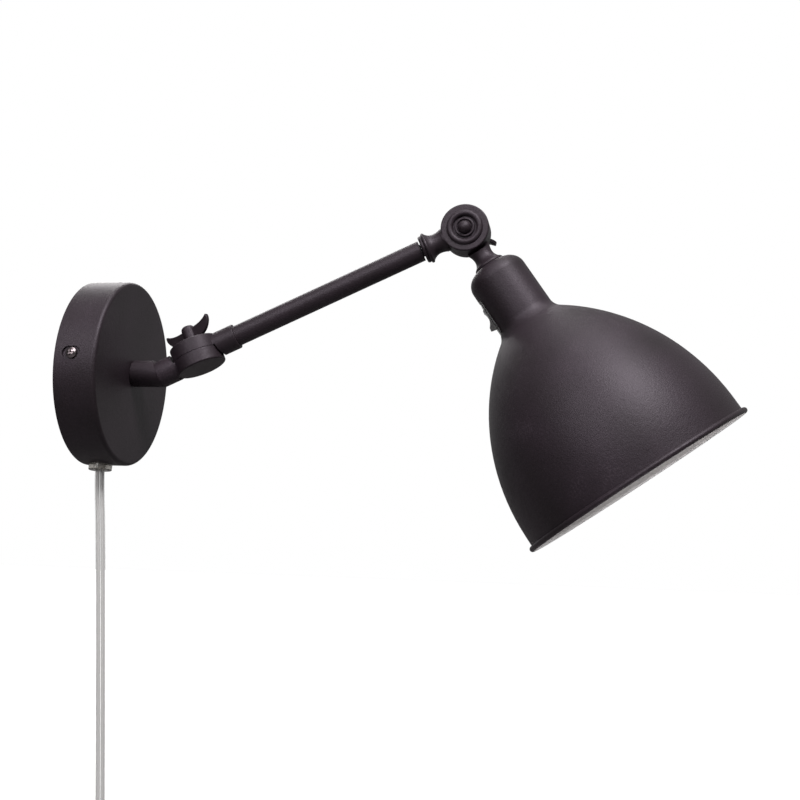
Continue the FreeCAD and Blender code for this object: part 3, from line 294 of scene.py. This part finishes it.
def makePip(look):
    shape = bmesh.new()
    bmesh.ops.create_uvsphere(
        shape, u_segments=look["sides"], v_segments=look["rings"], radius=look["radius"])
    bmesh.ops.scale(shape, vec=(1, 1, look["height"] / look["radius"]), verts=shape.verts)
    whole = shape.verts[:] + shape.edges[:] + shape.faces[:]
    cut = bmesh.ops.bisect_plane(
        shape, geom=whole, plane_co=(0, 0, -look["sunk"]), plane_no=(0, 0, -1), clear_outer=True)
    openEdges = [part for part in cut["geom_cut"] if isinstance(part, bmesh.types.BMEdge)]
    bmesh.ops.contextual_create(shape, geom=openEdges)
    bmesh.ops.translate(shape, vec=(look["place"], 0, look["cupRadius"]), verts=shape.verts)
    leaned = Matrix.Rotation(math.radians(-look["lean"]), 3, "X")
    bmesh.ops.rotate(shape, cent=(0, 0, 0), matrix=leaned, verts=shape.verts)
    fixOrder(shape)
    data = bpy.data.meshes.new("cup_pip")
    shape.to_mesh(data)
    shape.free()
    data.shade_smooth()
    return data


pipPiece = addPiece("cup_pip", makePip(pip), "root")
print("pip made:", len(pipPiece.data.polygons), "faces")


# Polyester powder coat, sprayed dry and baked: a close fine grain that scatters the light,
# a soft orange peel under it, and highlights that break up into specks.
powder = {
    "tones": ((0.36, "171214"), (0.62, "211a1f"), (0.74, "3a3238")),    # dark, light and fleck, on the ramp
    "specular": "f8eefb",   # the gloss has the coat's own faint violet
    "grain": 0.8,           # mm; the real grain is near 0.2, too fine to show here
    "grainDetail": 3.0,
    "grainRough": 0.65,
    "peel": 2.6,            # mm
    "peelDetail": 1.5,
    "cloud": 34,            # mm, of the slow change of tone
    "cloudDetail": 2.0,
    "cloudShare": 0.55,     # of the tone; the grain has the rest
    "peelShare": 0.5,       # of the peel's height, on top of the grain's
    "rough": (0.43, 0.58),
    "ior": 1.5,
    "sheen": 0.28,          # level of the gloss
    "bump": 0.68,
    "bumpHeight": 0.0002,
}
# White enamel inside the bell, sprayed and baked: smooth, with a dull gloss.
bell = {
    "fromArm": 80.93,       # degrees, from the arm's direction down to the bell's axis
    "beside": 0.0022,       # the bell's axis stands this far beside the arm's, along the tilt joint's pin
    "rollStart": 0.1798,    # from the tilt axis to where the rim's rolled edge starts
    "downShare": 0.2,       # a wall's face turned down the bell counts this much as turned inwards
    "wallBorder": -0.02,    # a face turned outwards by less than this is inside
    "rollBorder": -0.3,     # the same on the rolled edge, of which only the inner half is white
    "enamel": "e4e2e1",
    "enamelRough": 0.34,
    "enamelIor": 1.52,
    "enamelBump": 0.12,
    "enamelBumpHeight": 0.0001,
}

tiltPlace = Vector(joints["head_tilt"]["pos_m"])
tiltPin = Vector(joints["head_tilt"]["axis"])
armAlong = (tiltPlace - Vector(joints["arm_swing"]["pos_m"])).normalized()
bellPlace = tiltPlace - tiltPin * bell["beside"]
bellAxis = Matrix.Rotation(math.radians(-bell["fromArm"]), 3, tiltPin) @ armAlong


def powderShader(tree, place, look):
    # the coat's shader, and the orange peel, which the enamel lies over too
    grain = addNode(
        tree, "ShaderNodeTexNoise",
        {"Scale": grainScale(look["grain"]), "Detail": look["grainDetail"],
         "Roughness": look["grainRough"]},
        {"Vector": place.outputs["Object"]})
    peel = addNode(
        tree, "ShaderNodeTexNoise", {"Scale": grainScale(look["peel"]), "Detail": look["peelDetail"]},
        {"Vector": place.outputs["Object"]})
    cloud = addNode(
        tree, "ShaderNodeTexNoise", {"Scale": grainScale(look["cloud"]), "Detail": look["cloudDetail"]},
        {"Vector": place.outputs["Object"]})
    grainTone = addNode(
        tree, "ShaderNodeMath", {"operation": "MULTIPLY", 1: 1 - look["cloudShare"]},
        {0: grain.outputs["Fac"]})
    tone = addNode(
        tree, "ShaderNodeMath", {"operation": "MULTIPLY_ADD", 1: look["cloudShare"]},
        {0: cloud.outputs["Fac"], 2: grainTone.outputs[0]})
    ramp = addNode(tree, "ShaderNodeValToRGB", links={"Fac": tone.outputs[0]})
    stops = ramp.color_ramp.elements
    stops.new(0.5)      # the third stop, which the loop puts in its place
    for stop, (position, colour) in zip(stops, look["tones"]):
        stop.position = position
        stop.color = hexColour(colour)
    low, high = look["rough"]
    rough = addNode(
        tree, "ShaderNodeMapRange", {"To Min": low, "To Max": high}, {"Value": grain.outputs["Fac"]})
    height = addNode(
        tree, "ShaderNodeMath", {"operation": "MULTIPLY_ADD", 1: look["peelShare"]},
        {0: peel.outputs["Fac"], 2: grain.outputs["Fac"]})
    bump = addNode(
        tree, "ShaderNodeBump", {"Strength": look["bump"], "Distance": look["bumpHeight"]},
        {"Height": height.outputs[0]})
    coat = addNode(
        tree, "ShaderNodeBsdfPrincipled",
        {"IOR": look["ior"], "Specular IOR Level": look["sheen"],
         "Specular Tint": hexColour(look["specular"])},
        {"Base Color": ramp.outputs["Color"], "Roughness": rough.outputs["Result"],
         "Normal": bump.outputs["Normal"]})
    return coat, peel


def powderCoat(name, look):
    material, tree = newMaterial(name)
    place = addNode(tree, "ShaderNodeTexCoord")
    coat = powderShader(tree, place, look)[0]
    addNode(tree, "ShaderNodeOutputMaterial", links={"Surface": coat.outputs[0]})
    return material


def insideBell(tree, place):
    # one inside the bell and zero outside it: which side a point is on comes from its normal
    fromAxis = addNode(
        tree, "ShaderNodeVectorMath", {"operation": "SUBTRACT", 1: bellPlace}, {0: place.outputs["Object"]})
    along = addNode(
        tree, "ShaderNodeVectorMath", {"operation": "DOT_PRODUCT", 1: bellAxis},
        {0: fromAxis.outputs["Vector"]})
    onAxis = addNode(
        tree, "ShaderNodeVectorMath", {"operation": "SCALE", 0: bellAxis},
        {"Scale": along.outputs["Value"]})
    outward = addNode(
        tree, "ShaderNodeVectorMath", {"operation": "SUBTRACT"},
        {0: fromAxis.outputs["Vector"], 1: onAxis.outputs["Vector"]})
    outwardUnit = addNode(
        tree, "ShaderNodeVectorMath", {"operation": "NORMALIZE"}, {0: outward.outputs["Vector"]})
    facingOut = addNode(
        tree, "ShaderNodeVectorMath", {"operation": "DOT_PRODUCT"},
        {0: outwardUnit.outputs["Vector"], 1: place.outputs["Normal"]})
    facingDown = addNode(
        tree, "ShaderNodeVectorMath", {"operation": "DOT_PRODUCT", 1: bellAxis},
        {0: place.outputs["Normal"]})
    onWall = addNode(
        tree, "ShaderNodeMath", {"operation": "LESS_THAN", 1: bell["rollStart"]},
        {0: along.outputs["Value"]})
    wallDown = addNode(
        tree, "ShaderNodeMath", {"operation": "MULTIPLY"},
        {0: facingDown.outputs["Value"], 1: onWall.outputs[0]})
    facing = addNode(
        tree, "ShaderNodeMath", {"operation": "MULTIPLY_ADD", 1: -bell["downShare"]},
        {0: wallDown.outputs[0], 2: facingOut.outputs["Value"]})
    border = addNode(
        tree, "ShaderNodeMapRange", {"To Min": bell["rollBorder"], "To Max": bell["wallBorder"]},
        {"Value": onWall.outputs[0]})
    return addNode(
        tree, "ShaderNodeMath", {"operation": "LESS_THAN"},
        {0: facing.outputs[0], 1: border.outputs["Result"]})


def linedCoat(name, look):
    # powder coat outside, white enamel inside
    material, tree = newMaterial(name)
    place = addNode(tree, "ShaderNodeTexCoord")
    coat, peel = powderShader(tree, place, look)
    bump = addNode(
        tree, "ShaderNodeBump", {"Strength": bell["enamelBump"], "Distance": bell["enamelBumpHeight"]},
        {"Height": peel.outputs["Fac"]})
    enamel = addNode(
        tree, "ShaderNodeBsdfPrincipled",
        {"Base Color": hexColour(bell["enamel"]), "Roughness": bell["enamelRough"],
         "IOR": bell["enamelIor"]},
        {"Normal": bump.outputs["Normal"]})
    inside = insideBell(tree, place)
    sides = addNode(
        tree, "ShaderNodeMixShader", links={0: inside.outputs[0], 1: coat.outputs[0], 2: enamel.outputs[0]})
    addNode(tree, "ShaderNodeOutputMaterial", links={"Surface": sides.outputs[0]})
    return material


everyFinish = {
    "grainDetail": 3.0,
    "wide": 14,             # the tone drifts over this many grains
    "wideDetail": 2.0,
    "bumpHeight": 0.00008,
    "scatter": (0.004, 0.003, 0.002),   # how far red, green and blue light travel in a milky plastic
}
finishSockets = {
    "metal": "Metallic",
    "ior": "IOR",
    "seeThrough": "Alpha",
    "clear": "Transmission Weight",
    "milky": "Subsurface Weight",
}


def plainFinish(name, look):
    # one even material: two tones in a soft noise, a little change of roughness, and a fine bump
    material, tree = newMaterial(name)
    place = addNode(tree, "ShaderNodeTexCoord")
    grain = addNode(
        tree, "ShaderNodeTexNoise",
        {"Scale": grainScale(look["grain"]), "Detail": everyFinish["grainDetail"]},
        {"Vector": place.outputs["Object"]})
    wide = addNode(
        tree, "ShaderNodeTexNoise",
        {"Scale": grainScale(look["grain"] * everyFinish["wide"]), "Detail": everyFinish["wideDetail"]},
        {"Vector": place.outputs["Object"]})
    dark, light = (hexColour(tone) for tone in look["tones"])
    tone = addNode(
        tree, "ShaderNodeMix", {"data_type": "RGBA", mixFirst: dark, mixSecond: light},
        {mixShare: wide.outputs["Fac"]})
    low, high = look["rough"]
    rough = addNode(
        tree, "ShaderNodeMapRange", {"To Min": low, "To Max": high}, {"Value": grain.outputs["Fac"]})
    bump = addNode(
        tree, "ShaderNodeBump", {"Strength": look["bump"], "Distance": everyFinish["bumpHeight"]},
        {"Height": grain.outputs["Fac"]})
    values = {socket: look[key] for key, socket in finishSockets.items() if key in look}
    if "milky" in look:
        values["Subsurface Radius"] = everyFinish["scatter"]
        values["Subsurface Scale"] = 1.0
    shader = addNode(
        tree, "ShaderNodeBsdfPrincipled", values,
        {"Base Color": tone.outputs[mixResult], "Roughness": rough.outputs["Result"],
         "Normal": bump.outputs["Normal"]})
    addNode(tree, "ShaderNodeOutputMaterial", links={"Surface": shader.outputs[0]})
    return material


def dress(material, names):
    for name in names:
        data = nodes[name].data
        data.materials.clear()
        data.materials.append(material)


# zinc electroplate on pressed steel: cool grey and bright, faintly mottled
zinc = {"tones": ("a9adb0", "c3c5c4"), "grain": 0.5, "rough": (0.24, 0.38), "metal": 1.0, "bump": 0.1}
finishes = {
    "zincPlatedSteel": (
        zinc,
        ["wall_bracket", "block_screw", "terminal_screws", "stem_washer", "stem_locknut", "knuckle_stud",
         "arm_tip_insert", "shade_locknut", "holder_strap", "holder_locknut", "switch_spades"]),
    # black nickel on the cup's small steel screws: dark, with bright warm glints
    "blackNickelScrew": (
        {"tones": ("6f6668", "8f8588"), "grain": 0.4, "rough": (0.24, 0.36), "metal": 1.0, "bump": 0.06},
        ["cup_screws"]),
    # turned brass, not lacquered: warm yellow, fairly bright
    "turnedBrass": (
        {"tones": ("b8924a", "cfae66"), "grain": 0.3, "rough": (0.2, 0.32), "metal": 1.0, "bump": 0.08},
        ["terminal_tubes", "holder_contact"]),
    # nickel plate on the plug's pins, the holder's screw shell and the bulb's cap: pale and bright
    "nickelPlate": (
        {"tones": ("bdb9b1", "d2cfc8"), "grain": 0.6, "rough": (0.14, 0.24), "metal": 1.0, "bump": 0.05},
        ["plug_pins", "holder_screw_shell", "bulb_cap"]),
    # solder on the bulb's centre contact: grey, dull and uneven
    "tinnedContact": (
        {"tones": ("9c9a95", "bcbab4"), "grain": 0.5, "rough": (0.3, 0.45), "metal": 1.0, "bump": 0.2},
        ["bulb_eyelet"]),
    # vulcanised fibre washers: dull red-brown, with a papery grain
    "vulcanisedFibre": (
        {"tones": ("74352a", "8a4335"), "grain": 0.35, "rough": (0.68, 0.82), "bump": 0.3},
        ["knuckle_washer", "tilt_washer"]),
    # moulded white polyamide of the terminal block and the bulb's base: warm white, half dull
    "whitePolyamide": (
        {"tones": ("dcdad2", "e6e4dd"), "grain": 0.4, "rough": (0.42, 0.52), "ior": 1.53, "bump": 0.1},
        ["terminal_block", "bulb_base"]),
    # moulded black phenolic of the lampholder: dense, with a dull gloss
    "blackPhenolic": (
        {"tones": ("1b1a1a", "242222"), "grain": 0.5, "rough": (0.3, 0.4), "ior": 1.6, "bump": 0.08},
        ["holder_cap", "holder_skirt"]),
    # moulded black polyamide of the rocker switch, from a polished mould: glossy
    "glossyBlackSwitch": (
        {"tones": ("131212", "1b1919"), "grain": 0.6, "rough": (0.16, 0.2), "ior": 1.5, "bump": 0.01},
        ["switch_housing", "switch_rocker"]),
    # moulded smoky clear plastic of the cord's gland and the plug: light goes in, but little shows through
    "smokyClearMoulding": (
        {"tones": ("a5a19c", "b5b1ab"), "grain": 1.2, "rough": (0.16, 0.26), "ior": 1.53, "clear": 0.75,
         "bump": 0.05},
        ["cord_gland", "gland_nut", "plug_strain_relief", "plug_body"]),
    # moulded opal polycarbonate of the bulb's globe: milky and faintly glossy
    "opalGlobe": (
        {"tones": ("f0ede6", "f5f3ee"), "grain": 2.0, "rough": (0.16, 0.22), "ior": 1.58, "milky": 0.5,
         "bump": 0.02},
        ["bulb_globe"]),
    # extruded grey and white PVC on the two cores inside the cup: soft and half dull
    "coreInsulation": (
        {"tones": ("b9b6b0", "cfccc6"), "grain": 0.8, "rough": (0.35, 0.5), "ior": 1.53, "bump": 0.05},
        ["supply_cores"]),
}
for finishName, (look, names) in finishes.items():
    dress(plainFinish(finishName, look), names)

coatFinish = powderCoat("blackPowderCoat", powder)
pipPiece.data.materials.append(coatFinish)
dress(coatFinish, [
    "wall_cup", "elbow", "swing_knuckle", "arm_tube", "tilt_knuckle_front", "tilt_knuckle_rear",
    "knuckle_wing_nut", "tilt_wing_nut", "tilt_bolt"])
dress(linedCoat("powderCoatWhiteInside", powder), ["shade"])


# Rolled threads under zinc plate, which are drawn here and left plain in the solids.
thread = {
    "pitch": 1.0,           # mm
    "rough": 0.34,
    "grainDetail": 3.0,
    "bump": 0.9,
    "bumpHeight": 0.0004,
}
threadedTubes = {
    # node: a point on its axis, and the axis
    "stem_nipple": (Vector((0, 0, 0)), Vector((1, 0, 0))),
    "arm_tip_nipple": (tiltPlace, armAlong),
    "shade_nipple": (bellPlace, bellAxis),
    "holder_nipple": (bellPlace, bellAxis),
}


def threadedZinc(name, point, axis):
    halfPitch = thread["pitch"] / 2 / 1000
    material, tree = newMaterial(name)
    place = addNode(tree, "ShaderNodeTexCoord")
    fromPoint = addNode(
        tree, "ShaderNodeVectorMath", {"operation": "SUBTRACT", 1: point}, {0: place.outputs["Object"]})
    along = addNode(
        tree, "ShaderNodeVectorMath", {"operation": "DOT_PRODUCT", 1: axis},
        {0: fromPoint.outputs["Vector"]})
    crest = addNode(
        tree, "ShaderNodeMath", {"operation": "PINGPONG", 1: halfPitch}, {0: along.outputs["Value"]})
    height = addNode(
        tree, "ShaderNodeMath", {"operation": "DIVIDE", 1: halfPitch}, {0: crest.outputs[0]})
    bump = addNode(
        tree, "ShaderNodeBump", {"Strength": thread["bump"], "Distance": thread["bumpHeight"]},
        {"Height": height.outputs[0]})
    grain = addNode(
        tree, "ShaderNodeTexNoise", {"Scale": grainScale(zinc["grain"]), "Detail": thread["grainDetail"]},
        {"Vector": place.outputs["Object"]})
    dark, light = (hexColour(tone) for tone in zinc["tones"])
    tone = addNode(
        tree, "ShaderNodeMix", {"data_type": "RGBA", mixFirst: dark, mixSecond: light},
        {mixShare: grain.outputs["Fac"]})
    shader = addNode(
        tree, "ShaderNodeBsdfPrincipled", {"Metallic": zinc["metal"], "Roughness": thread["rough"]},
        {"Base Color": tone.outputs[mixResult], "Normal": bump.outputs["Normal"]})
    addNode(tree, "ShaderNodeOutputMaterial", links={"Surface": shader.outputs[0]})
    return material


for name, (point, axis) in threadedTubes.items():
    dress(threadedZinc("threadedZinc_" + name, point, axis), [name])


# Hook-and-loop tape of the cord's tie: a close fuzzy weave of black nylon.
strap = {
    "tones": ("161515", "2b2929"),
    "loop": 0.9,            # mm
    "rib": 2.76,            # mm, from one rib of the weave to the next
    "wander": 1.2,          # how far the ribs stray from straight
    "rough": 0.86,
    "fuzz": 0.35,
    "fuzzRough": 0.5,
    "bump": 0.6,
    "bumpHeight": 0.0003,
}


def wovenTape(name, look):
    material, tree = newMaterial(name)
    place = addNode(tree, "ShaderNodeTexCoord")
    loops = addNode(
        tree, "ShaderNodeTexVoronoi", {"Scale": grainScale(look["loop"])},
        {"Vector": place.outputs["Object"]})
    # at a scale of one, the bands of a Wave texture are 2 pi / 20 metres apart
    ribScale = grainScale(look["rib"]) * 2 * math.pi / 20
    rib = addNode(
        tree, "ShaderNodeTexWave", {"Scale": ribScale, "Distortion": look["wander"]},
        {"Vector": place.outputs["Object"]})
    height = addNode(
        tree, "ShaderNodeMath", {"operation": "ADD"}, {0: loops.outputs["Distance"], 1: rib.outputs["Fac"]})
    bump = addNode(
        tree, "ShaderNodeBump", {"Strength": look["bump"], "Distance": look["bumpHeight"]},
        {"Height": height.outputs[0]})
    dark, light = (hexColour(tone) for tone in look["tones"])
    tone = addNode(
        tree, "ShaderNodeMix", {"data_type": "RGBA", mixFirst: dark, mixSecond: light},
        {mixShare: loops.outputs["Distance"]})
    shader = addNode(
        tree, "ShaderNodeBsdfPrincipled",
        {"Roughness": look["rough"], "Sheen Weight": look["fuzz"], "Sheen Roughness": look["fuzzRough"]},
        {"Base Color": tone.outputs[mixResult], "Normal": bump.outputs["Normal"]})
    addNode(tree, "ShaderNodeOutputMaterial", links={"Surface": shader.outputs[0]})
    return material


dress(wovenTape("hookAndLoopTape", strap), ["cord_tie"])


# Extruded clear PVC of the cord's sheath: a soft gloss, slightly milky, with the pair showing through it.
clearSheath = {
    "tones": ("cfcfce", "d8d8d7"),
    "grain": 1.6,           # mm
    "rough": (0.2, 0.3),
    "ior": 1.5,
    "seeThrough": 0.3,      # the lower, the more the pair shows
    "bump": 0.03,
}
# Tinned copper strands under thin clear insulation: silver grey.
tinnedPair = {
    "tones": ("acabaa", "bab9b8"),
    "grain": 0.7,           # mm
    "rough": (0.3, 0.45),
    "bump": 0.1,
}
sheathFinish = plainFinish("clearSheath", clearSheath)
sheath.data.materials.append(sheathFinish)
dress(sheathFinish, ["supply_tail"])
pair.data.materials.append(plainFinish("tinnedPair", tinnedPair))
print("finishes made:", len(bpy.data.materials))


# Studio: a pale floor, a white surround, and broad soft lamps.
floorLook = {
    "gap": 0.0015,              # below the object
    "half": 1.6,
    "colour": "cdcdcc",
    "bounce": "6f6e6e",         # what the object gets back from the floor
    "glow": (0.34, 0.84),       # the camera alone sees the floor this much lighter: near, and far off
    "far": (0.35, 1.1),         # metres along the floor from the point below the cup, for those two
}
surround = {
    "ambient": 0.1,
    "gloss": (0.07, 0.42),      # in a gloss it is dim on the camera's side, and brighter behind the object
    "glossFrom": (-0.35, 0.5),  # the two directions that these hold for, as their Y
}
lamps = {
    # spread is in degrees
    "keySoftbox": {
        "place": (0.83, -0.8, 1.63), "aim": (0.3, 0, 0), "size": (0.65, 0.65),
        "watts": 60, "colour": "fffdfd", "spread": 180,
    },
    "fillSoftbox": {
        "place": (-0.4, -1.4, 1.0), "aim": (0.08, 0, 0), "size": (1.0, 1.0),
        "watts": 23, "colour": "fffdfe", "spread": 180,
    },
    "topSoftbox": {
        "place": (0.1, 0.2, 1.7), "aim": (0.15, 0, 0), "size": (1.2, 1.0),
        "watts": 12, "colour": "fffdfd", "spread": 180,
    },
    "backSoftbox": {
        "place": (-0.5, 1.5, 1.0), "aim": (0.12, 0, -0.05), "size": (1.0, 1.0),
        "watts": 17, "colour": "fffdfd", "spread": 180,
    },
    # narrow, up into the bell alone, in place of the light that a white floor sends there
    "bellSoftbox": {
        "place": (0.44, -0.05, -0.25), "aim": (0.336, -0.008, -0.06), "size": (0.1, 0.1),
        "watts": 0.04, "colour": "fffdff", "spread": 60,
    },
}


def paleFloor(look):
    material, tree = newMaterial("paleFloor")
    ray = addNode(tree, "ShaderNodeLightPath")
    bounce, seen = hexColour(look["bounce"]), hexColour(look["colour"])
    colour = addNode(
        tree, "ShaderNodeMix", {"data_type": "RGBA", mixFirst: bounce, mixSecond: seen},
        {mixShare: ray.outputs["Is Camera Ray"]})
    pale = addNode(tree, "ShaderNodeBsdfDiffuse", links={"Color": colour.outputs[mixResult]})
    place = addNode(tree, "ShaderNodeTexCoord")
    flat = addNode(
        tree, "ShaderNodeVectorMath", {"operation": "MULTIPLY", 1: (1, 1, 0)}, {0: place.outputs["Object"]})
    away = addNode(tree, "ShaderNodeVectorMath", {"operation": "LENGTH"}, {0: flat.outputs["Vector"]})
    rise = addNode(
        tree, "ShaderNodeMapRange",
        {"From Min": look["far"][0], "From Max": look["far"][1],
         "To Min": look["glow"][0], "To Max": look["glow"][1]},
        {"Value": away.outputs["Value"]})
    level = addNode(
        tree, "ShaderNodeMath", {"operation": "MULTIPLY"},
        {0: ray.outputs["Is Camera Ray"], 1: rise.outputs["Result"]})
    glow = addNode(
        tree, "ShaderNodeEmission", {"Color": hexColour("ffffff")}, {"Strength": level.outputs[0]})
    both = addNode(tree, "ShaderNodeAddShader", links={0: pale.outputs[0], 1: glow.outputs[0]})
    addNode(tree, "ShaderNodeOutputMaterial", links={"Surface": both.outputs[0]})
    return material


def makeFloor(look):
    shape = bmesh.new()
    bmesh.ops.create_grid(shape, x_segments=1, y_segments=1, size=look["half"])
    bmesh.ops.translate(shape, vec=(0, 0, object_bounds()[0].z - look["gap"]), verts=shape.verts)
    data = bpy.data.meshes.new("floor")
    shape.to_mesh(data)
    shape.free()
    data.materials.append(paleFloor(look))
    floor = bpy.data.objects.new("floor", data)
    scene.collection.objects.link(floor)
    floor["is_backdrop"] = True


def makeSurround(look):
    world = bpy.data.worlds.new("whiteSurround")
    scene.world = world
    world.use_nodes = True
    tree = world.node_tree
    tree.nodes.clear()
    ray = addNode(tree, "ShaderNodeLightPath")
    direction = addNode(tree, "ShaderNodeTexCoord")
    axes = addNode(tree, "ShaderNodeSeparateXYZ", links={"Vector": direction.outputs["Generated"]})
    inGloss = addNode(
        tree, "ShaderNodeMapRange",
        {"From Min": look["glossFrom"][0], "From Max": look["glossFrom"][1],
         "To Min": look["gloss"][0], "To Max": look["gloss"][1]},
        {"Value": axes.outputs["Y"]})
    unseen = addNode(
        tree, "ShaderNodeMapRange", {"To Min": look["ambient"]},
        {"Value": ray.outputs["Is Glossy Ray"], "To Max": inGloss.outputs["Result"]})
    seen = addNode(
        tree, "ShaderNodeMath", {"operation": "MAXIMUM"},
        {0: ray.outputs["Is Camera Ray"], 1: ray.outputs["Is Transmission Ray"]})
    strength = addNode(
        tree, "ShaderNodeMath", {"operation": "MAXIMUM"}, {0: seen.outputs[0], 1: unseen.outputs["Result"]})
    glow = addNode(
        tree, "ShaderNodeBackground", {"Color": hexColour("ffffff")}, {"Strength": strength.outputs[0]})
    addNode(tree, "ShaderNodeOutputWorld", links={"Surface": glow.outputs[0]})


def makeLamp(name, look):
    data = bpy.data.lights.new(name, "AREA")
    data.shape = "RECTANGLE"
    data.size, data.size_y = look["size"]
    data.energy = look["watts"]
    data.color = hexColour(look["colour"])[:3]
    data.spread = math.radians(look["spread"])
    lamp = bpy.data.objects.new(name, data)
    lamp.location = look["place"]
    lamp.rotation_euler = (Vector(look["aim"]) - Vector(look["place"])).to_track_quat("-Z", "Y").to_euler()
    lamp.visible_camera = False
    scene.collection.objects.link(lamp)


makeFloor(floorLook)
makeSurround(surround)
for lampName, lampLook in lamps.items():
    makeLamp(lampName, lampLook)
scene.view_settings.view_transform = "Standard"
print("studio made")
